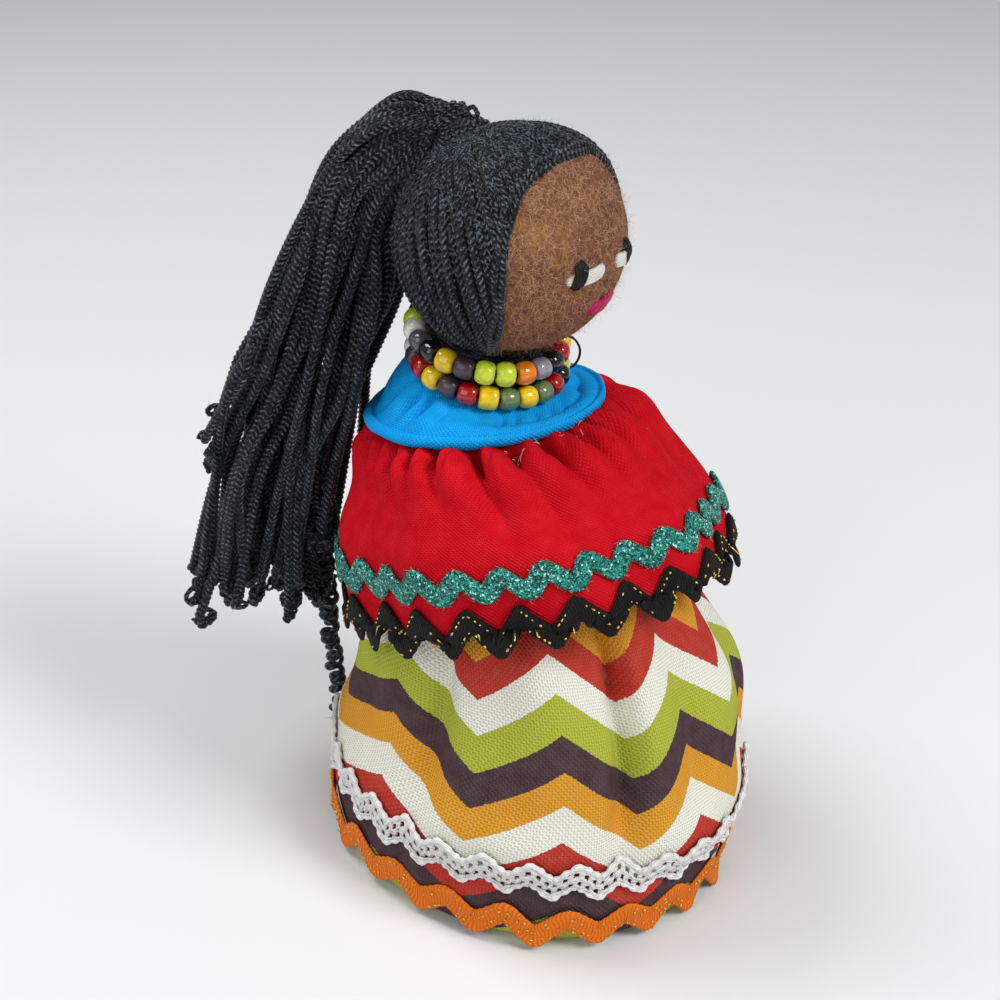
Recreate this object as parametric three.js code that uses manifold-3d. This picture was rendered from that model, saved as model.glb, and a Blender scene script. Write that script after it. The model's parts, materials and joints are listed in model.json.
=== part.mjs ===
// Husk-fibre doll with braided-cord hair, bead necklaces, yoke, cape and skirt, standing on a flat base.
// Millimetres and degrees, +Z up, the doll faces -Y and its right side is -X.
import * as THREE from "three";
import { mergeVertices } from "three/addons/utils/BufferGeometryUtils.js";
import Module from "manifold-3d";

const wasm = await Module();
wasm.setup();
const { clamp, degToRad, lerp, smoothstep } = THREE.MathUtils;
const UP = new THREE.Vector3(0, 0, 1);

// Fits shared by every piece.
const GAP = 0.3; // clearance between pieces that touch
const CLOTH = 0.9; // cloth with its turned edge

// Base disc and skirt.
const BASE_RADIUS = 35.5; // inner edge of the skirt where it is tucked under
const BASE_NARROW = 0.845; // side to side, as a share of front to back
const BASE_THICKNESS = 2;
const HEM_RADIUS = 42.3; // front to back, like every radius of the clothes
const HEM_HEIGHT = 5;
const BULGE_RADIUS = 43;
const BULGE_HEIGHT = 18;
const HIP_RADIUS = 36.3;
const HIP_HEIGHT = 48;
const WAIST_RADIUS = 26;
const WAIST_HEIGHT = 74;
const SKIRT_FOLDS = 9;
const SKIRT_FOLD_DEPTH = 1.1;

// Stuffed body: it bellies forward, then leans back to the seam of the cape.
const BELLY_HEIGHT = 38;
const BELLY_FORWARD = 3;
const CORE_SLACK = 5; // room between the stuffing and the loose skirt
const NECK_RADIUS = 7.6;
const NECK_BACK = 10.6;
const NECK_CORD = 1.3; // diameter
const NECK_CORD_PITCH = 1.9;

// Cape, gathered into the seam under the yoke.
const SEAM_RADIUS = 18.5;
const SEAM_HEIGHT = 92;
const SEAM_BACK = 11.5;
const SEAM_SLOPE = 0.16; // rise toward the front
const SEAM_SIDE = 0.05; // rise toward the left
const CAPE_SHOULDER_RADIUS = 31;
const CAPE_SHOULDER_DROP = 8.3;
const CAPE_HEM_RADIUS = 37.2;
const CAPE_DROP = 31; // hem below the seam
const CAPE_HEM_SLOPE = 0.35;
const CAPE_HEM_SIDE = -0.06;
const CAPE_FOLDS = 9;
const CAPE_FOLD_DEPTH = 1;

// Yoke: a dished collar with a turned rim.
const COLLAR_RADIUS = 11;
const COLLAR_RISE = 8;
const COLLAR_SLOPE = -0.22;
const YOKE_RADIUS = 21.4;
const YOKE_RIM = 1.4; // turned edge, standing on the cape
const YOKE_PLEATS = 8;
const YOKE_PLEAT_DEPTH = 0.35;

// Rick-rack: number of waves, half height of the wave, width and thickness of the braid.
const TRIM = 0.9;
const TEAL = { waves: 29, wave: 1.7, width: 3.6, above: 10.5 };
const BLACK = { waves: 24, wave: 2.8, width: 4.2, above: 0 };
const WHITE = { waves: 28, wave: 1.9, width: 4.4, above: 14.5 };
const ORANGE = { waves: 21, wave: 1.8, width: 3.8, above: 1 };
const TRIM_OVERHANG = 6;

// Bead necklaces.
const BEADS = 23;
const LOOSE_BEADS = 17; // beads at the front and sides; the rest sit on the thread at the nape
const BEAD_DIAMETER = 4;
const NECKLACE_RADIUS = 13.4;
const NECKLACE_SLOPE = 0.21; // rise toward the back
const BEAD_SEAT_DROP = 1.2; // seat on the yoke, below the collar
const BEAD_REST = 1;
const BEAD_SPACING = 0.15; // at the inner edge of the ring
const STRAND_SPACING = 0.8;
const UPPER_TURN = -0.45; // beads from the front, as each strand lies at rest
const LOWER_TURN = 0.7;
const THREAD = 0.9; // diameter

// Head and hair.
const HEAD_RADIUS = 19.6;
const HEAD_BACK = 4.75;
const CHIN_GAP = 0.6;
const HAIR = 1.1;
const HAIR_RIDGE = 0.3;
const HAIR_CORDS = 20;
const FACE_ANGLE = 62;
const FACE_DOWN = 4;
const NAPE_ANGLE = 29;
const NAPE_BACK = 17;
const EYE_ANGLE = 19;
const EYE_WIDTH = 8.4;
const EYE_HEIGHT = 4;
const IRIS_WIDTH = 3;
const IRIS_HEIGHT = 6;
const STITCH = 0.8; // height of the embroidery
const MOUTH_DOWN = 22;
const MOUTH_WIDTH = 8.4;
const MOUTH_HEIGHT = 3.6;

// Ponytail.
const ROOT_RADIUS = 2.6;
const ROOT_PROUD = 0; // centre of the root ball outside the hair
const ROOT_ANGLE = 53; // up from the back of the head
const SEAT = 0.9; // felt seat that the cords are sewn to
const TIE_RISE = 3.8;
const TIE_RADIUS = 4.3;
const TIE_CORD = 1; // diameter
const TIE_PITCH = 1.5;
const WINDINGS = 2;
const KNOT_RADIUS = 1;
const CORD = 1.9; // diameter
const CORD_ROWS = 2; // in each half of the tail
const CORDS_ACROSS = 5;
const TAIL_TURN = 25; // the tail hangs this far from straight back, toward the right
const TAIL_CLEAR = 1.1;
const TAIL_DEPTH = 24;
const TAIL_WIDTH = 26;
const TAIL_END_HEIGHT = 43;

// Heights and radii that follow from the values above.
const COLLAR_HEIGHT = SEAM_HEIGHT + COLLAR_RISE;
const BEAD_RADIUS = BEAD_DIAMETER / 2;
const HAIR_RADIUS = HEAD_RADIUS + GAP + HAIR;
const LOWER_STRAND_HEIGHT = COLLAR_HEIGHT - BEAD_SEAT_DROP + BEAD_RADIUS + BEAD_REST;
const UPPER_STRAND_HEIGHT = LOWER_STRAND_HEIGHT + BEAD_DIAMETER + STRAND_SPACING;
const CHIN_REACH = HAIR_RADIUS + HAIR_RIDGE + BEAD_RADIUS + CHIN_GAP;
const HEAD_HEIGHT = UPPER_STRAND_HEIGHT - NECKLACE_SLOPE * NECKLACE_RADIUS
  + Math.sqrt(CHIN_REACH ** 2 - (NECK_BACK - NECKLACE_RADIUS - HEAD_BACK) ** 2);
const HEAD_CENTRE = new THREE.Vector3(0, HEAD_BACK, HEAD_HEIGHT);
const ROOT_AXIS = new THREE.Vector3(0, Math.cos(degToRad(ROOT_ANGLE)), Math.sin(degToRad(ROOT_ANGLE)));
const ROOT = ROOT_AXIS.clone().multiplyScalar(HAIR_RADIUS + ROOT_PROUD);

// Removes doubled points and flat triangles, so the solid is closed.
function weld(geometry) {
  const plain = new THREE.BufferGeometry();
  plain.setAttribute("position", geometry.getAttribute("position").clone());
  if (geometry.index) plain.setIndex(geometry.index.clone());
  const merged = mergeVertices(plain, 1e-4);
  const index = merged.index.array;
  const kept = [];
  for (let i = 0; i < index.length; i += 3) {
    const [a, b, c] = [index[i], index[i + 1], index[i + 2]];
    if (a !== b && b !== c && c !== a) kept.push(a, b, c);
  }
  merged.setIndex(kept);
  return merged;
}

function solid(geometry) {
  const welded = weld(geometry);
  const mesh = new wasm.Mesh({
    numProp: 3,
    vertProperties: Float32Array.from(welded.getAttribute("position").array),
    triVerts: Uint32Array.from(welded.index.array),
  });
  return new wasm.Manifold(mesh);
}

function surfaceOf(body) {
  const mesh = body.getMesh();
  const geometry = new THREE.BufferGeometry();
  geometry.setAttribute("position", new THREE.BufferAttribute(mesh.vertProperties, 3));
  geometry.setIndex(Array.from(mesh.triVerts));
  return weld(geometry);
}

// Joins rings of points into a surface; a loft is closed by flat ends, a ring by its own first section.
function skin(sections, closed) {
  const count = sections[0].length;
  const position = sections.flat().flatMap((p) => [p.x, p.y, p.z]);
  const index = [];
  const last = closed ? sections.length : sections.length - 1;
  for (let i = 0; i < last; i++) {
    const next = (i + 1) % sections.length;
    for (let j = 0; j < count; j++) {
      const k = (j + 1) % count;
      const [a, b, c, d] = [i * count + j, i * count + k, next * count + k, next * count + j];
      index.push(a, b, c, a, c, d);
    }
  }
  if (!closed) {
    for (let j = 1; j < count - 1; j++) {
      index.push(0, j + 1, j);
      const end = (sections.length - 1) * count;
      index.push(end, end + j, end + j + 1);
    }
  }
  const geometry = new THREE.BufferGeometry();
  geometry.setAttribute("position", new THREE.Float32BufferAttribute(position, 3));
  geometry.setIndex(index);
  return geometry;
}

function around(columns, sectionAt) {
  return Array.from({ length: columns }, (_, i) => sectionAt((i / columns) * 2 * Math.PI));
}

// Centre line of the leaning body: distance behind the base centre at a height.
function spineBack(height) {
  if (height < BELLY_HEIGHT) return -BELLY_FORWARD * smoothstep(height, 0, BELLY_HEIGHT);
  if (height < SEAM_HEIGHT) {
    const share = (height - BELLY_HEIGHT) / (SEAM_HEIGHT - BELLY_HEIGHT);
    return (SEAM_BACK + BELLY_FORWARD) * share ** 2 - BELLY_FORWARD;
  }
  return lerp(SEAM_BACK, NECK_BACK, smoothstep(height, SEAM_HEIGHT, SEAM_HEIGHT + COLLAR_RISE / 2));
}

// The base is oval; the body grows round toward the seam.
function sideShare(height) {
  const share = clamp((height - BELLY_HEIGHT) / (SEAM_HEIGHT - BELLY_HEIGHT), 0, 1);
  return lerp(BASE_NARROW, 1, share ** 2);
}

function bodyPoint(angle, radius, height, slope) {
  const forward = radius * Math.cos(angle);
  const aside = radius * Math.sin(angle);
  const rise = height + slope.front * forward + slope.side * aside;
  return new THREE.Vector3(aside * sideShare(height), spineBack(height) - forward, rise);
}

const LEVEL = { front: 0, side: 0 };
const SEAM_TILT = { front: SEAM_SLOPE, side: SEAM_SIDE };
const CAPE_TILT = { front: CAPE_HEM_SLOPE, side: CAPE_HEM_SIDE };
const COLLAR_TILT = { front: COLLAR_SLOPE, side: 0 };

function tiltBetween(from, to, share) {
  return { front: lerp(from.front, to.front, share), side: lerp(from.side, to.side, share) };
}

// A cloth surface: an outline of radius and height carried round the body. The angle is 0 at the front.
function clothSurface(path, slopeAt, foldAt) {
  const place = (angle, s) => {
    const outline = path.getPoint(clamp(s, 0, 1));
    return bodyPoint(angle, outline.x + foldAt(angle, s), outline.y, slopeAt(s));
  };
  const surface = (angle, s, lift) => {
    const step = 0.004;
    const down = place(angle, s + step).sub(place(angle, s - step));
    const across = place(angle + step, s).sub(place(angle - step, s));
    return place(angle, s).addScaledVector(down.cross(across).normalize(), lift);
  };
  surface.run = path.getLength();
  return surface;
}

function clothShell(surface, columns, rows, end) {
  const steps = Array.from({ length: rows + 1 }, (_, j) => (j / rows) * end);
  const sectionAt = (angle) => [
    ...steps.map((s) => surface(angle, s, 0)),
    ...steps.toReversed().map((s) => surface(angle, s, -CLOTH)),
  ];
  return skin(around(columns, sectionAt), true);
}

// A wavy braid lying on a cloth surface.
function rickrack(surface, place, trim) {
  const half = trim.width / 2 / surface.run;
  const wave = trim.wave / surface.run;
  const sectionAt = (angle) => {
    const s = place + wave * Math.cos(trim.waves * angle);
    return [
      surface(angle, s - half, GAP + TRIM),
      surface(angle, s + half, GAP + TRIM),
      surface(angle, s + half, GAP),
      surface(angle, s - half, GAP),
    ];
  };
  return skin(around(trim.waves * 4, sectionAt), true);
}

// A cord wound round an axis, for the neck and the ponytail.
class Winding extends THREE.Curve {
  constructor(radius, pitch) {
    super();
    this.radius = radius;
    this.pitch = pitch;
  }

  getPoint(t, target = new THREE.Vector3()) {
    const turn = t * WINDINGS;
    const angle = turn * 2 * Math.PI;
    const rise = (turn - WINDINGS / 2) * this.pitch;
    return target.set(this.radius * Math.cos(angle), this.radius * Math.sin(angle), rise);
  }
}

function windingSolid(name, radius, pitch, diameter) {
  const curve = new Winding(radius, pitch);
  const steps = Math.round(WINDINGS * 14);
  const section = new THREE.Shape();
  for (let k = 0; k < 5; k++) {
    const angle = (k / 5) * 2 * Math.PI;
    const [x, y] = [(diameter / 2) * Math.cos(angle), (diameter / 2) * Math.sin(angle)];
    if (k === 0) section.moveTo(x, y);
    else section.lineTo(x, y);
  }
  let least = Infinity;
  const points = curve.getPoints(steps);
  const near = Math.ceil(steps / WINDINGS / 2);
  points.forEach((p, i) => points.slice(i + near).forEach((q) => {
    least = Math.min(least, p.distanceTo(q) - diameter);
  }));
  console.log(`${name}: least gap to itself ${least.toFixed(2)} mm`);
  return new THREE.ExtrudeGeometry(section, { steps, extrudePath: curve, bevelEnabled: false });
}

const parts = new THREE.Group();
parts.name = "husk_doll";

function piece(parent, name, geometry, color, roughness) {
  const material = new THREE.MeshStandardMaterial({ color, roughness, metalness: 0 });
  const mesh = new THREE.Mesh(weld(geometry), material);
  mesh.name = name;
  parent.add(mesh);
  return mesh;
}

// Skirt, from the waist to the edge tucked under the base.
const SKIRT_COLUMNS = 45;
const skirtPath = new THREE.Path().moveTo(WAIST_RADIUS, WAIST_HEIGHT);
skirtPath.splineThru([
  new THREE.Vector2(HIP_RADIUS, HIP_HEIGHT),
  new THREE.Vector2(BULGE_RADIUS, BULGE_HEIGHT),
  new THREE.Vector2(HEM_RADIUS, HEM_HEIGHT),
]);
skirtPath.quadraticCurveTo(HEM_RADIUS - 0.4, 0, HEM_RADIUS - 3, 0);
skirtPath.lineTo(BASE_RADIUS, 0);
const skirtHem = skirtPath.getCurveLengths()[0] / skirtPath.getLength();
const skirt = clothSurface(skirtPath, () => LEVEL, (angle, s) => {
  const fade = smoothstep(s, 0.36, 0.6) * (1 - smoothstep(s, 0.66, skirtHem - 0.02));
  const fold = Math.cos(SKIRT_FOLDS * angle) + 0.5 * Math.cos(2 * angle + 1);
  return SKIRT_FOLD_DEPTH * fade * fold;
});
piece(parts, "skirt", clothShell(skirt, SKIRT_COLUMNS, 10, 1), 0xb86a24, 0.9);
const orangeAt = skirtHem - ORANGE.above / skirt.run;
piece(parts, "skirt_orange_rickrack", rickrack(skirt, orangeAt, ORANGE), 0xdd6a16, 0.7);
const whiteAt = skirtHem - WHITE.above / skirt.run;
piece(parts, "skirt_white_rickrack", rickrack(skirt, whiteAt, WHITE), 0xeeeae0, 0.9);

const discRim = new THREE.Shape();
discRim.absellipse(0, 0, BASE_RADIUS * BASE_NARROW - GAP, BASE_RADIUS - GAP, 0, 2 * Math.PI);
const discForm = { depth: BASE_THICKNESS, bevelEnabled: false, curveSegments: SKIRT_COLUMNS };
const disc = new THREE.ExtrudeGeometry(discRim, discForm);
piece(parts, "base_disc", disc, 0x9a7b55, 0.9);

// Cape, cut at its hem; its outline runs on below for the trim that overhangs the edge.
const capeHemHeight = SEAM_HEIGHT - CAPE_DROP;
const capeMiddle = lerp(CAPE_SHOULDER_RADIUS, CAPE_HEM_RADIUS, 0.7);
const capePath = new THREE.Path().moveTo(SEAM_RADIUS, SEAM_HEIGHT);
capePath.splineThru([
  new THREE.Vector2(YOKE_RADIUS + 1, SEAM_HEIGHT - 0.4),
  new THREE.Vector2(lerp(YOKE_RADIUS, CAPE_SHOULDER_RADIUS, 0.62), SEAM_HEIGHT - 2.4),
  new THREE.Vector2(CAPE_SHOULDER_RADIUS, SEAM_HEIGHT - CAPE_SHOULDER_DROP),
  new THREE.Vector2(capeMiddle, lerp(SEAM_HEIGHT, capeHemHeight, 0.55)),
  new THREE.Vector2(CAPE_HEM_RADIUS, capeHemHeight),
  new THREE.Vector2(CAPE_HEM_RADIUS, capeHemHeight - TRIM_OVERHANG),
]);
const capeHem = 1 - TRIM_OVERHANG / capePath.getLength();
const capeFold = (angle, s) => {
  const fold = Math.cos(CAPE_FOLDS * angle + 0.7) + 0.4 * Math.cos(3 * angle);
  return CAPE_FOLD_DEPTH * smoothstep(s, 0.12, 0.8) * fold;
};
const cape = clothSurface(capePath, (s) => tiltBetween(SEAM_TILT, CAPE_TILT, s), capeFold);
piece(parts, "cape", clothShell(cape, CAPE_FOLDS * 5, 8, capeHem), 0xb4101f, 0.85);
piece(parts, "cape_teal_rickrack", rickrack(cape, capeHem - TEAL.above / cape.run, TEAL), 0x2a9a8c, 0.5);
piece(parts, "cape_black_rickrack", rickrack(cape, capeHem, BLACK), 0x1c1a1a, 0.6);

// Yoke, from the collar over the bead seat to the rim that stands on the seam of the cape.
const yokePath = new THREE.Path().moveTo(COLLAR_RADIUS, COLLAR_HEIGHT);
yokePath.splineThru([
  new THREE.Vector2(NECKLACE_RADIUS, COLLAR_HEIGHT - BEAD_SEAT_DROP),
  new THREE.Vector2(lerp(NECKLACE_RADIUS, YOKE_RADIUS, 0.72), lerp(SEAM_HEIGHT, COLLAR_HEIGHT, 0.44)),
  new THREE.Vector2(YOKE_RADIUS, SEAM_HEIGHT + GAP + YOKE_RIM),
]);
yokePath.lineTo(YOKE_RADIUS, SEAM_HEIGHT + GAP);
const yokeFold = (angle, s) => YOKE_PLEAT_DEPTH * Math.sin(Math.PI * s) * Math.cos(YOKE_PLEATS * angle);
const yokeSlope = (s) => tiltBetween(COLLAR_TILT, SEAM_TILT, smoothstep(s, 0.1, 0.75));
const yoke = clothSurface(yokePath, yokeSlope, yokeFold);
piece(parts, "yoke", clothShell(yoke, YOKE_PLEATS * 4, 6, 1), 0x1f8ad8, 0.85);

// Stuffed body inside the clothes; its neck is hollowed to seat the head.
const headBall = new THREE.SphereGeometry(HEAD_RADIUS, 20, 12);
const headSeat = (scale) => new THREE.SphereGeometry(scale, 20, 12);
const shoulder = SEAM_RADIUS - GAP;
const hipRadius = lerp(BULGE_RADIUS, HIP_RADIUS, 0.7) - CLOTH - SKIRT_FOLD_DEPTH * 1.5;
const coreRings = [
  [BASE_RADIUS - CORE_SLACK, BASE_THICKNESS + GAP, LEVEL],
  [hipRadius - CORE_SLACK, BELLY_HEIGHT, LEVEL],
  [lerp(hipRadius, WAIST_RADIUS, 0.7) - CORE_SLACK, lerp(BELLY_HEIGHT, WAIST_HEIGHT, 0.7), LEVEL],
  [WAIST_RADIUS - CLOTH - GAP, WAIST_HEIGHT, LEVEL],
  [shoulder, SEAM_HEIGHT - CLOTH * 2, SEAM_TILT],
  [shoulder, SEAM_HEIGHT - CLOTH / 2, SEAM_TILT],
  [shoulder - 3, SEAM_HEIGHT - CLOTH * 2, tiltBetween(LEVEL, SEAM_TILT, 0.5)],
  [NECK_RADIUS + 1, SEAM_HEIGHT - CLOTH * 2, LEVEL],
  [NECK_RADIUS, SEAM_HEIGHT + COLLAR_RISE / 2, LEVEL],
  [NECK_RADIUS, HEAD_HEIGHT - HEAD_RADIUS + 6, LEVEL],
];
const coreSections = coreRings.map(([radius, height, slope]) => (
  around(24, (angle) => bodyPoint(angle, radius, height, slope))));
const headSpace = headSeat(HEAD_RADIUS + GAP).translate(...HEAD_CENTRE.toArray());
const core = solid(skin(coreSections, false)).subtract(solid(headSpace));
piece(parts, "body_core", surfaceOf(core), 0x7d5a3a, 0.95);

const neckCordRadius = NECK_RADIUS + GAP * 2 + NECK_CORD / 2;
const neckCord = windingSolid("neck_cord", neckCordRadius, NECK_CORD_PITCH, NECK_CORD);
const hairBottom = HEAD_HEIGHT - HAIR_RADIUS - HAIR_RIDGE;
const neckCordHeight = hairBottom - GAP - NECK_CORD - NECK_CORD_PITCH * WINDINGS / 2;
piece(parts, "neck_cord", neckCord, 0x3a2a1e, 0.9).position.set(0, NECK_BACK, neckCordHeight);

// Head with its embroidery, hair and ponytail root, all about the centre of the head.
const head = new THREE.Group();
head.name = "head";
head.position.copy(HEAD_CENTRE);
parts.add(head);
const rootSpace = new THREE.SphereGeometry(ROOT_RADIUS + GAP, 12, 8).translate(...ROOT.toArray());
piece(head, "head_ball", surfaceOf(solid(headBall).subtract(solid(rootSpace))), 0x8f5f38, 0.95);

// A raised oval of stitches facing out of the head.
function stitches(side, down, width, height, rise, grow) {
  const oval = new THREE.SphereGeometry(1, 10, 8);
  const sunk = 0.3;
  oval.scale(width / 2 + grow, rise + sunk + grow, height / 2 + grow);
  oval.translate(0, -(HEAD_RADIUS + GAP - sunk), 0);
  oval.rotateX(degToRad(down)).rotateZ(degToRad(side));
  return solid(oval);
}

const skinSpace = solid(headSeat(HEAD_RADIUS + GAP));
for (const [label, side] of [["right", -EYE_ANGLE], ["left", EYE_ANGLE]]) {
  const white = stitches(side, 1, EYE_WIDTH, EYE_HEIGHT, STITCH, 0).subtract(skinSpace);
  const under = stitches(side, 1, EYE_WIDTH, EYE_HEIGHT, STITCH, GAP);
  const oval = stitches(side, 1, IRIS_WIDTH, IRIS_HEIGHT, STITCH * 1.8, 0);
  const iris = oval.subtract(skinSpace).subtract(under);
  piece(head, `${label}_eye_white`, surfaceOf(white), 0xf0eeea, 0.8);
  piece(head, `${label}_eye_iris`, surfaceOf(iris), 0x141418, 0.8);
}
const mouth = stitches(0, MOUTH_DOWN, MOUTH_WIDTH, MOUTH_HEIGHT, STITCH, 0).subtract(skinSpace);
piece(head, "mouth", surfaceOf(mouth), 0xb80a58, 0.7);

// Hair: cords run from the hairline to the root, so the ridges meet at the root axis.
const toRoot = new THREE.Quaternion().setFromUnitVectors(new THREE.Vector3(0, 1, 0), ROOT_AXIS);
const hairBall = new THREE.SphereGeometry(HAIR_RADIUS, HAIR_CORDS * 2, 12);
const hairPoints = hairBall.getAttribute("position");
for (let i = 0; i < hairPoints.count; i++) {
  const p = new THREE.Vector3().fromBufferAttribute(hairPoints, i);
  const spread = Math.hypot(p.x, p.z) / HAIR_RADIUS;
  const ridge = HAIR_RIDGE * spread * Math.cos(HAIR_CORDS * Math.atan2(p.z, p.x));
  p.setLength(HAIR_RADIUS + ridge);
  hairPoints.setXYZ(i, p.x, p.y, p.z);
}
hairBall.applyQuaternion(toRoot);
const coneLength = HAIR_RADIUS * 2;
const openingCone = (angle, columns) => {
  const cone = new THREE.ConeGeometry(coneLength * Math.tan(degToRad(angle)), coneLength, columns);
  return cone.translate(0, -coneLength / 2, 0);
};
const faceOpening = openingCone(FACE_ANGLE, 28).rotateX(degToRad(FACE_DOWN));
const napeOpening = openingCone(NAPE_ANGLE, 16).rotateX(degToRad(90 + NAPE_BACK));
const hair = solid(hairBall).subtract(skinSpace).subtract(solid(faceOpening)).subtract(solid(napeOpening))
  .subtract(solid(rootSpace));
piece(head, "hair_cap", surfaceOf(hair), 0x16171c, 0.8);

const root = new THREE.SphereGeometry(ROOT_RADIUS, 12, 8);
piece(head, "ponytail_root", root, 0x121318, 0.85).position.copy(ROOT);

// Ponytail: a wound tie with its knot, and cords sewn to a felt seat on the root.
const tail = new THREE.Group();
tail.name = "ponytail";
tail.position.copy(ROOT);
head.add(tail);
const axisTurn = new THREE.Quaternion().setFromUnitVectors(UP, ROOT_AXIS);
const tieWinding = windingSolid("ponytail_tie", TIE_RADIUS, TIE_PITCH, TIE_CORD);
const tie = piece(tail, "ponytail_tie", tieWinding, 0x0f1014, 0.8);
tie.quaternion.copy(axisTurn);
tie.position.copy(ROOT_AXIS).multiplyScalar(TIE_RISE);
const headward = new THREE.Vector3(0, -Math.sin(degToRad(ROOT_ANGLE)), Math.cos(degToRad(ROOT_ANGLE)));
const knotTube = TIE_CORD * 0.6;
const knotLoop = new THREE.TorusGeometry(KNOT_RADIUS, knotTube, 6, 12);
const knot = piece(tail, "ponytail_knot", knotLoop, 0x0f1014, 0.8);
knot.rotation.y = Math.PI / 2;
knot.position.copy(ROOT_AXIS).multiplyScalar(TIE_RISE)
  .addScaledVector(headward, TIE_RADIUS + TIE_CORD / 2 + GAP + KNOT_RADIUS + knotTube);

const turned = degToRad(TAIL_TURN);
const OUT = new THREE.Vector3(-Math.sin(turned), Math.cos(turned), 0);
const ACROSS = new THREE.Vector3(Math.cos(turned), Math.sin(turned), 0);
const rootBack = HEAD_BACK + ROOT.y;
const rootHeight = HEAD_HEIGHT + ROOT.z;

// How far behind the root a cord clears a round body whose axis is this far back.
function behind(centreBack, radius) {
  const offset = rootBack - centreBack;
  const reach = radius + CORD / 2 + TAIL_CLEAR;
  return -offset * Math.cos(turned) + Math.sqrt(reach ** 2 - (offset * Math.sin(turned)) ** 2);
}

// Inner and outer edge of the hanging tail: distance behind the root and height, with the half width.
const shoulderReach = CAPE_SHOULDER_RADIUS + CAPE_FOLD_DEPTH;
const capeBehind = behind(spineBack(SEAM_HEIGHT - CAPE_SHOULDER_DROP), shoulderReach);
const hemReach = CAPE_HEM_RADIUS + CAPE_FOLD_DEPTH * 1.4 + TRIM + GAP;
const hemBehind = behind(spineBack(capeHemHeight), hemReach);
const rises = (height) => height - rootHeight;
const napeBehind = behind(HEAD_BACK, HAIR_RADIUS + HAIR_RIDGE);
const yokeBehind = behind(SEAM_BACK, YOKE_RADIUS);
const napeRise = -HAIR_RADIUS;
const shoulderRise = rises(SEAM_HEIGHT + 3);
const capeRise = rises(SEAM_HEIGHT - CAPE_SHOULDER_DROP * 2);
const endRise = rises(TAIL_END_HEIGHT);
const tieTop = TIE_RISE + (TIE_PITCH * WINDINGS + TIE_CORD) / 2 + GAP;
const stations = [
  { inner: [tieTop * 1.34, tieTop * 0.46], outer: [tieTop * 0.94, tieTop * 1.07], half: 0.18 },
  { inner: [napeBehind + 0.5, -2], outer: [napeBehind + TAIL_DEPTH * 0.29, 2.5], half: 0.25 },
  { inner: [napeBehind, napeRise], outer: [napeBehind + TAIL_DEPTH * 0.78, napeRise + 3], half: 0.35 },
  { inner: [yokeBehind, shoulderRise], outer: [yokeBehind + TAIL_DEPTH, shoulderRise], half: 0.44 },
  { inner: [capeBehind, capeRise], outer: [capeBehind + TAIL_DEPTH, capeRise], half: 0.5 },
  { inner: [hemBehind, endRise], outer: [hemBehind + TAIL_DEPTH * 1.25, endRise], half: 0.52 },
];

// One cord from the seat to its cut end; inner to outer is 0 to 1, across the tail is -1 to 1.
function cordSolid(depth, side, cut) {
  const neck = (TIE_RADIUS - TIE_CORD / 2 - GAP) * 0.62;
  const gathered = (rise, spread) => ROOT_AXIS.clone().multiplyScalar(rise)
    .addScaledVector(headward, (2 * depth - 1) * spread)
    .addScaledVector(new THREE.Vector3(1, 0, 0), side * spread);
  const sewn = neck * 0.8;
  const offAxis = sewn * Math.hypot(2 * depth - 1, side);
  const seatRise = Math.sqrt((ROOT_RADIUS + GAP + SEAT / 2) ** 2 - offAxis ** 2);
  const points = [gathered(seatRise, sewn), gathered(TIE_RISE, neck), gathered(tieTop, neck)];
  for (const { inner, outer, half } of stations) {
    const out = lerp(inner[0], outer[0], depth);
    const rise = lerp(inner[1], outer[1], depth);
    const aside = side * half * TAIL_WIDTH;
    points.push(OUT.clone().multiplyScalar(out).addScaledVector(ACROSS, aside).setZ(rise));
  }
  const curve = new THREE.CatmullRomCurve3(points, false, "centripetal");
  const sections = [];
  const steps = 9;
  for (let i = 0; i <= steps; i++) {
    const t = (i / steps) * cut;
    const centre = curve.getPoint(t);
    const along = curve.getTangent(t);
    const wide = ACROSS.clone().addScaledVector(along, -ACROSS.dot(along)).normalize();
    const deep = along.clone().cross(wide);
    const radius = lerp(CORD * 0.17, CORD / 2, smoothstep(t, 0.4, 0.65));
    sections.push(Array.from({ length: 4 }, (_, k) => {
      const angle = (k / 4) * 2 * Math.PI;
      return centre.clone().addScaledVector(wide, radius * Math.cos(angle))
        .addScaledVector(deep, radius * Math.sin(angle));
    }));
  }
  return solid(skin(sections, false));
}

// Felt seat under each half of the cords, curved to the root ball.
function seatHalf(sign) {
  const profile = [];
  const edge = degToRad(52);
  for (const [radius, from, to] of [[ROOT_RADIUS + GAP, 0, edge], [ROOT_RADIUS + GAP + SEAT, edge, 0]]) {
    for (let i = 0; i <= 4; i++) {
      const angle = lerp(from, to, i / 4);
      profile.push(new THREE.Vector2(radius * Math.sin(angle), radius * Math.cos(angle)));
    }
  }
  profile.push(profile[0].clone());
  const shell = new THREE.LatheGeometry(profile, 16).applyQuaternion(toRoot);
  const side = new THREE.BoxGeometry(20, 10, 20).applyQuaternion(axisTurn);
  side.translate(...headward.clone().multiplyScalar(sign * (5 + GAP / 2)).toArray());
  return solid(shell).intersect(solid(side));
}

for (const [label, sign] of [["inner", -1], ["outer", 1]]) {
  let cords = seatHalf(sign);
  for (let row = 0; row < CORD_ROWS; row++) {
    for (let i = 0; i < CORDS_ACROSS; i++) {
      const depth = 0.5 + sign * (row + 0.5) / CORD_ROWS / 2;
      const side = ((i + 0.5) / CORDS_ACROSS) * 2 - 1;
      const cut = 1 - 0.05 * (((i * 3 + row * 2) % 5) / 4);
      cords = cords.add(cordSolid(depth, side, cut));
    }
  }
  piece(tail, `ponytail_${label}_cords`, surfaceOf(cords), 0x14151a, 0.75);
}

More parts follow.
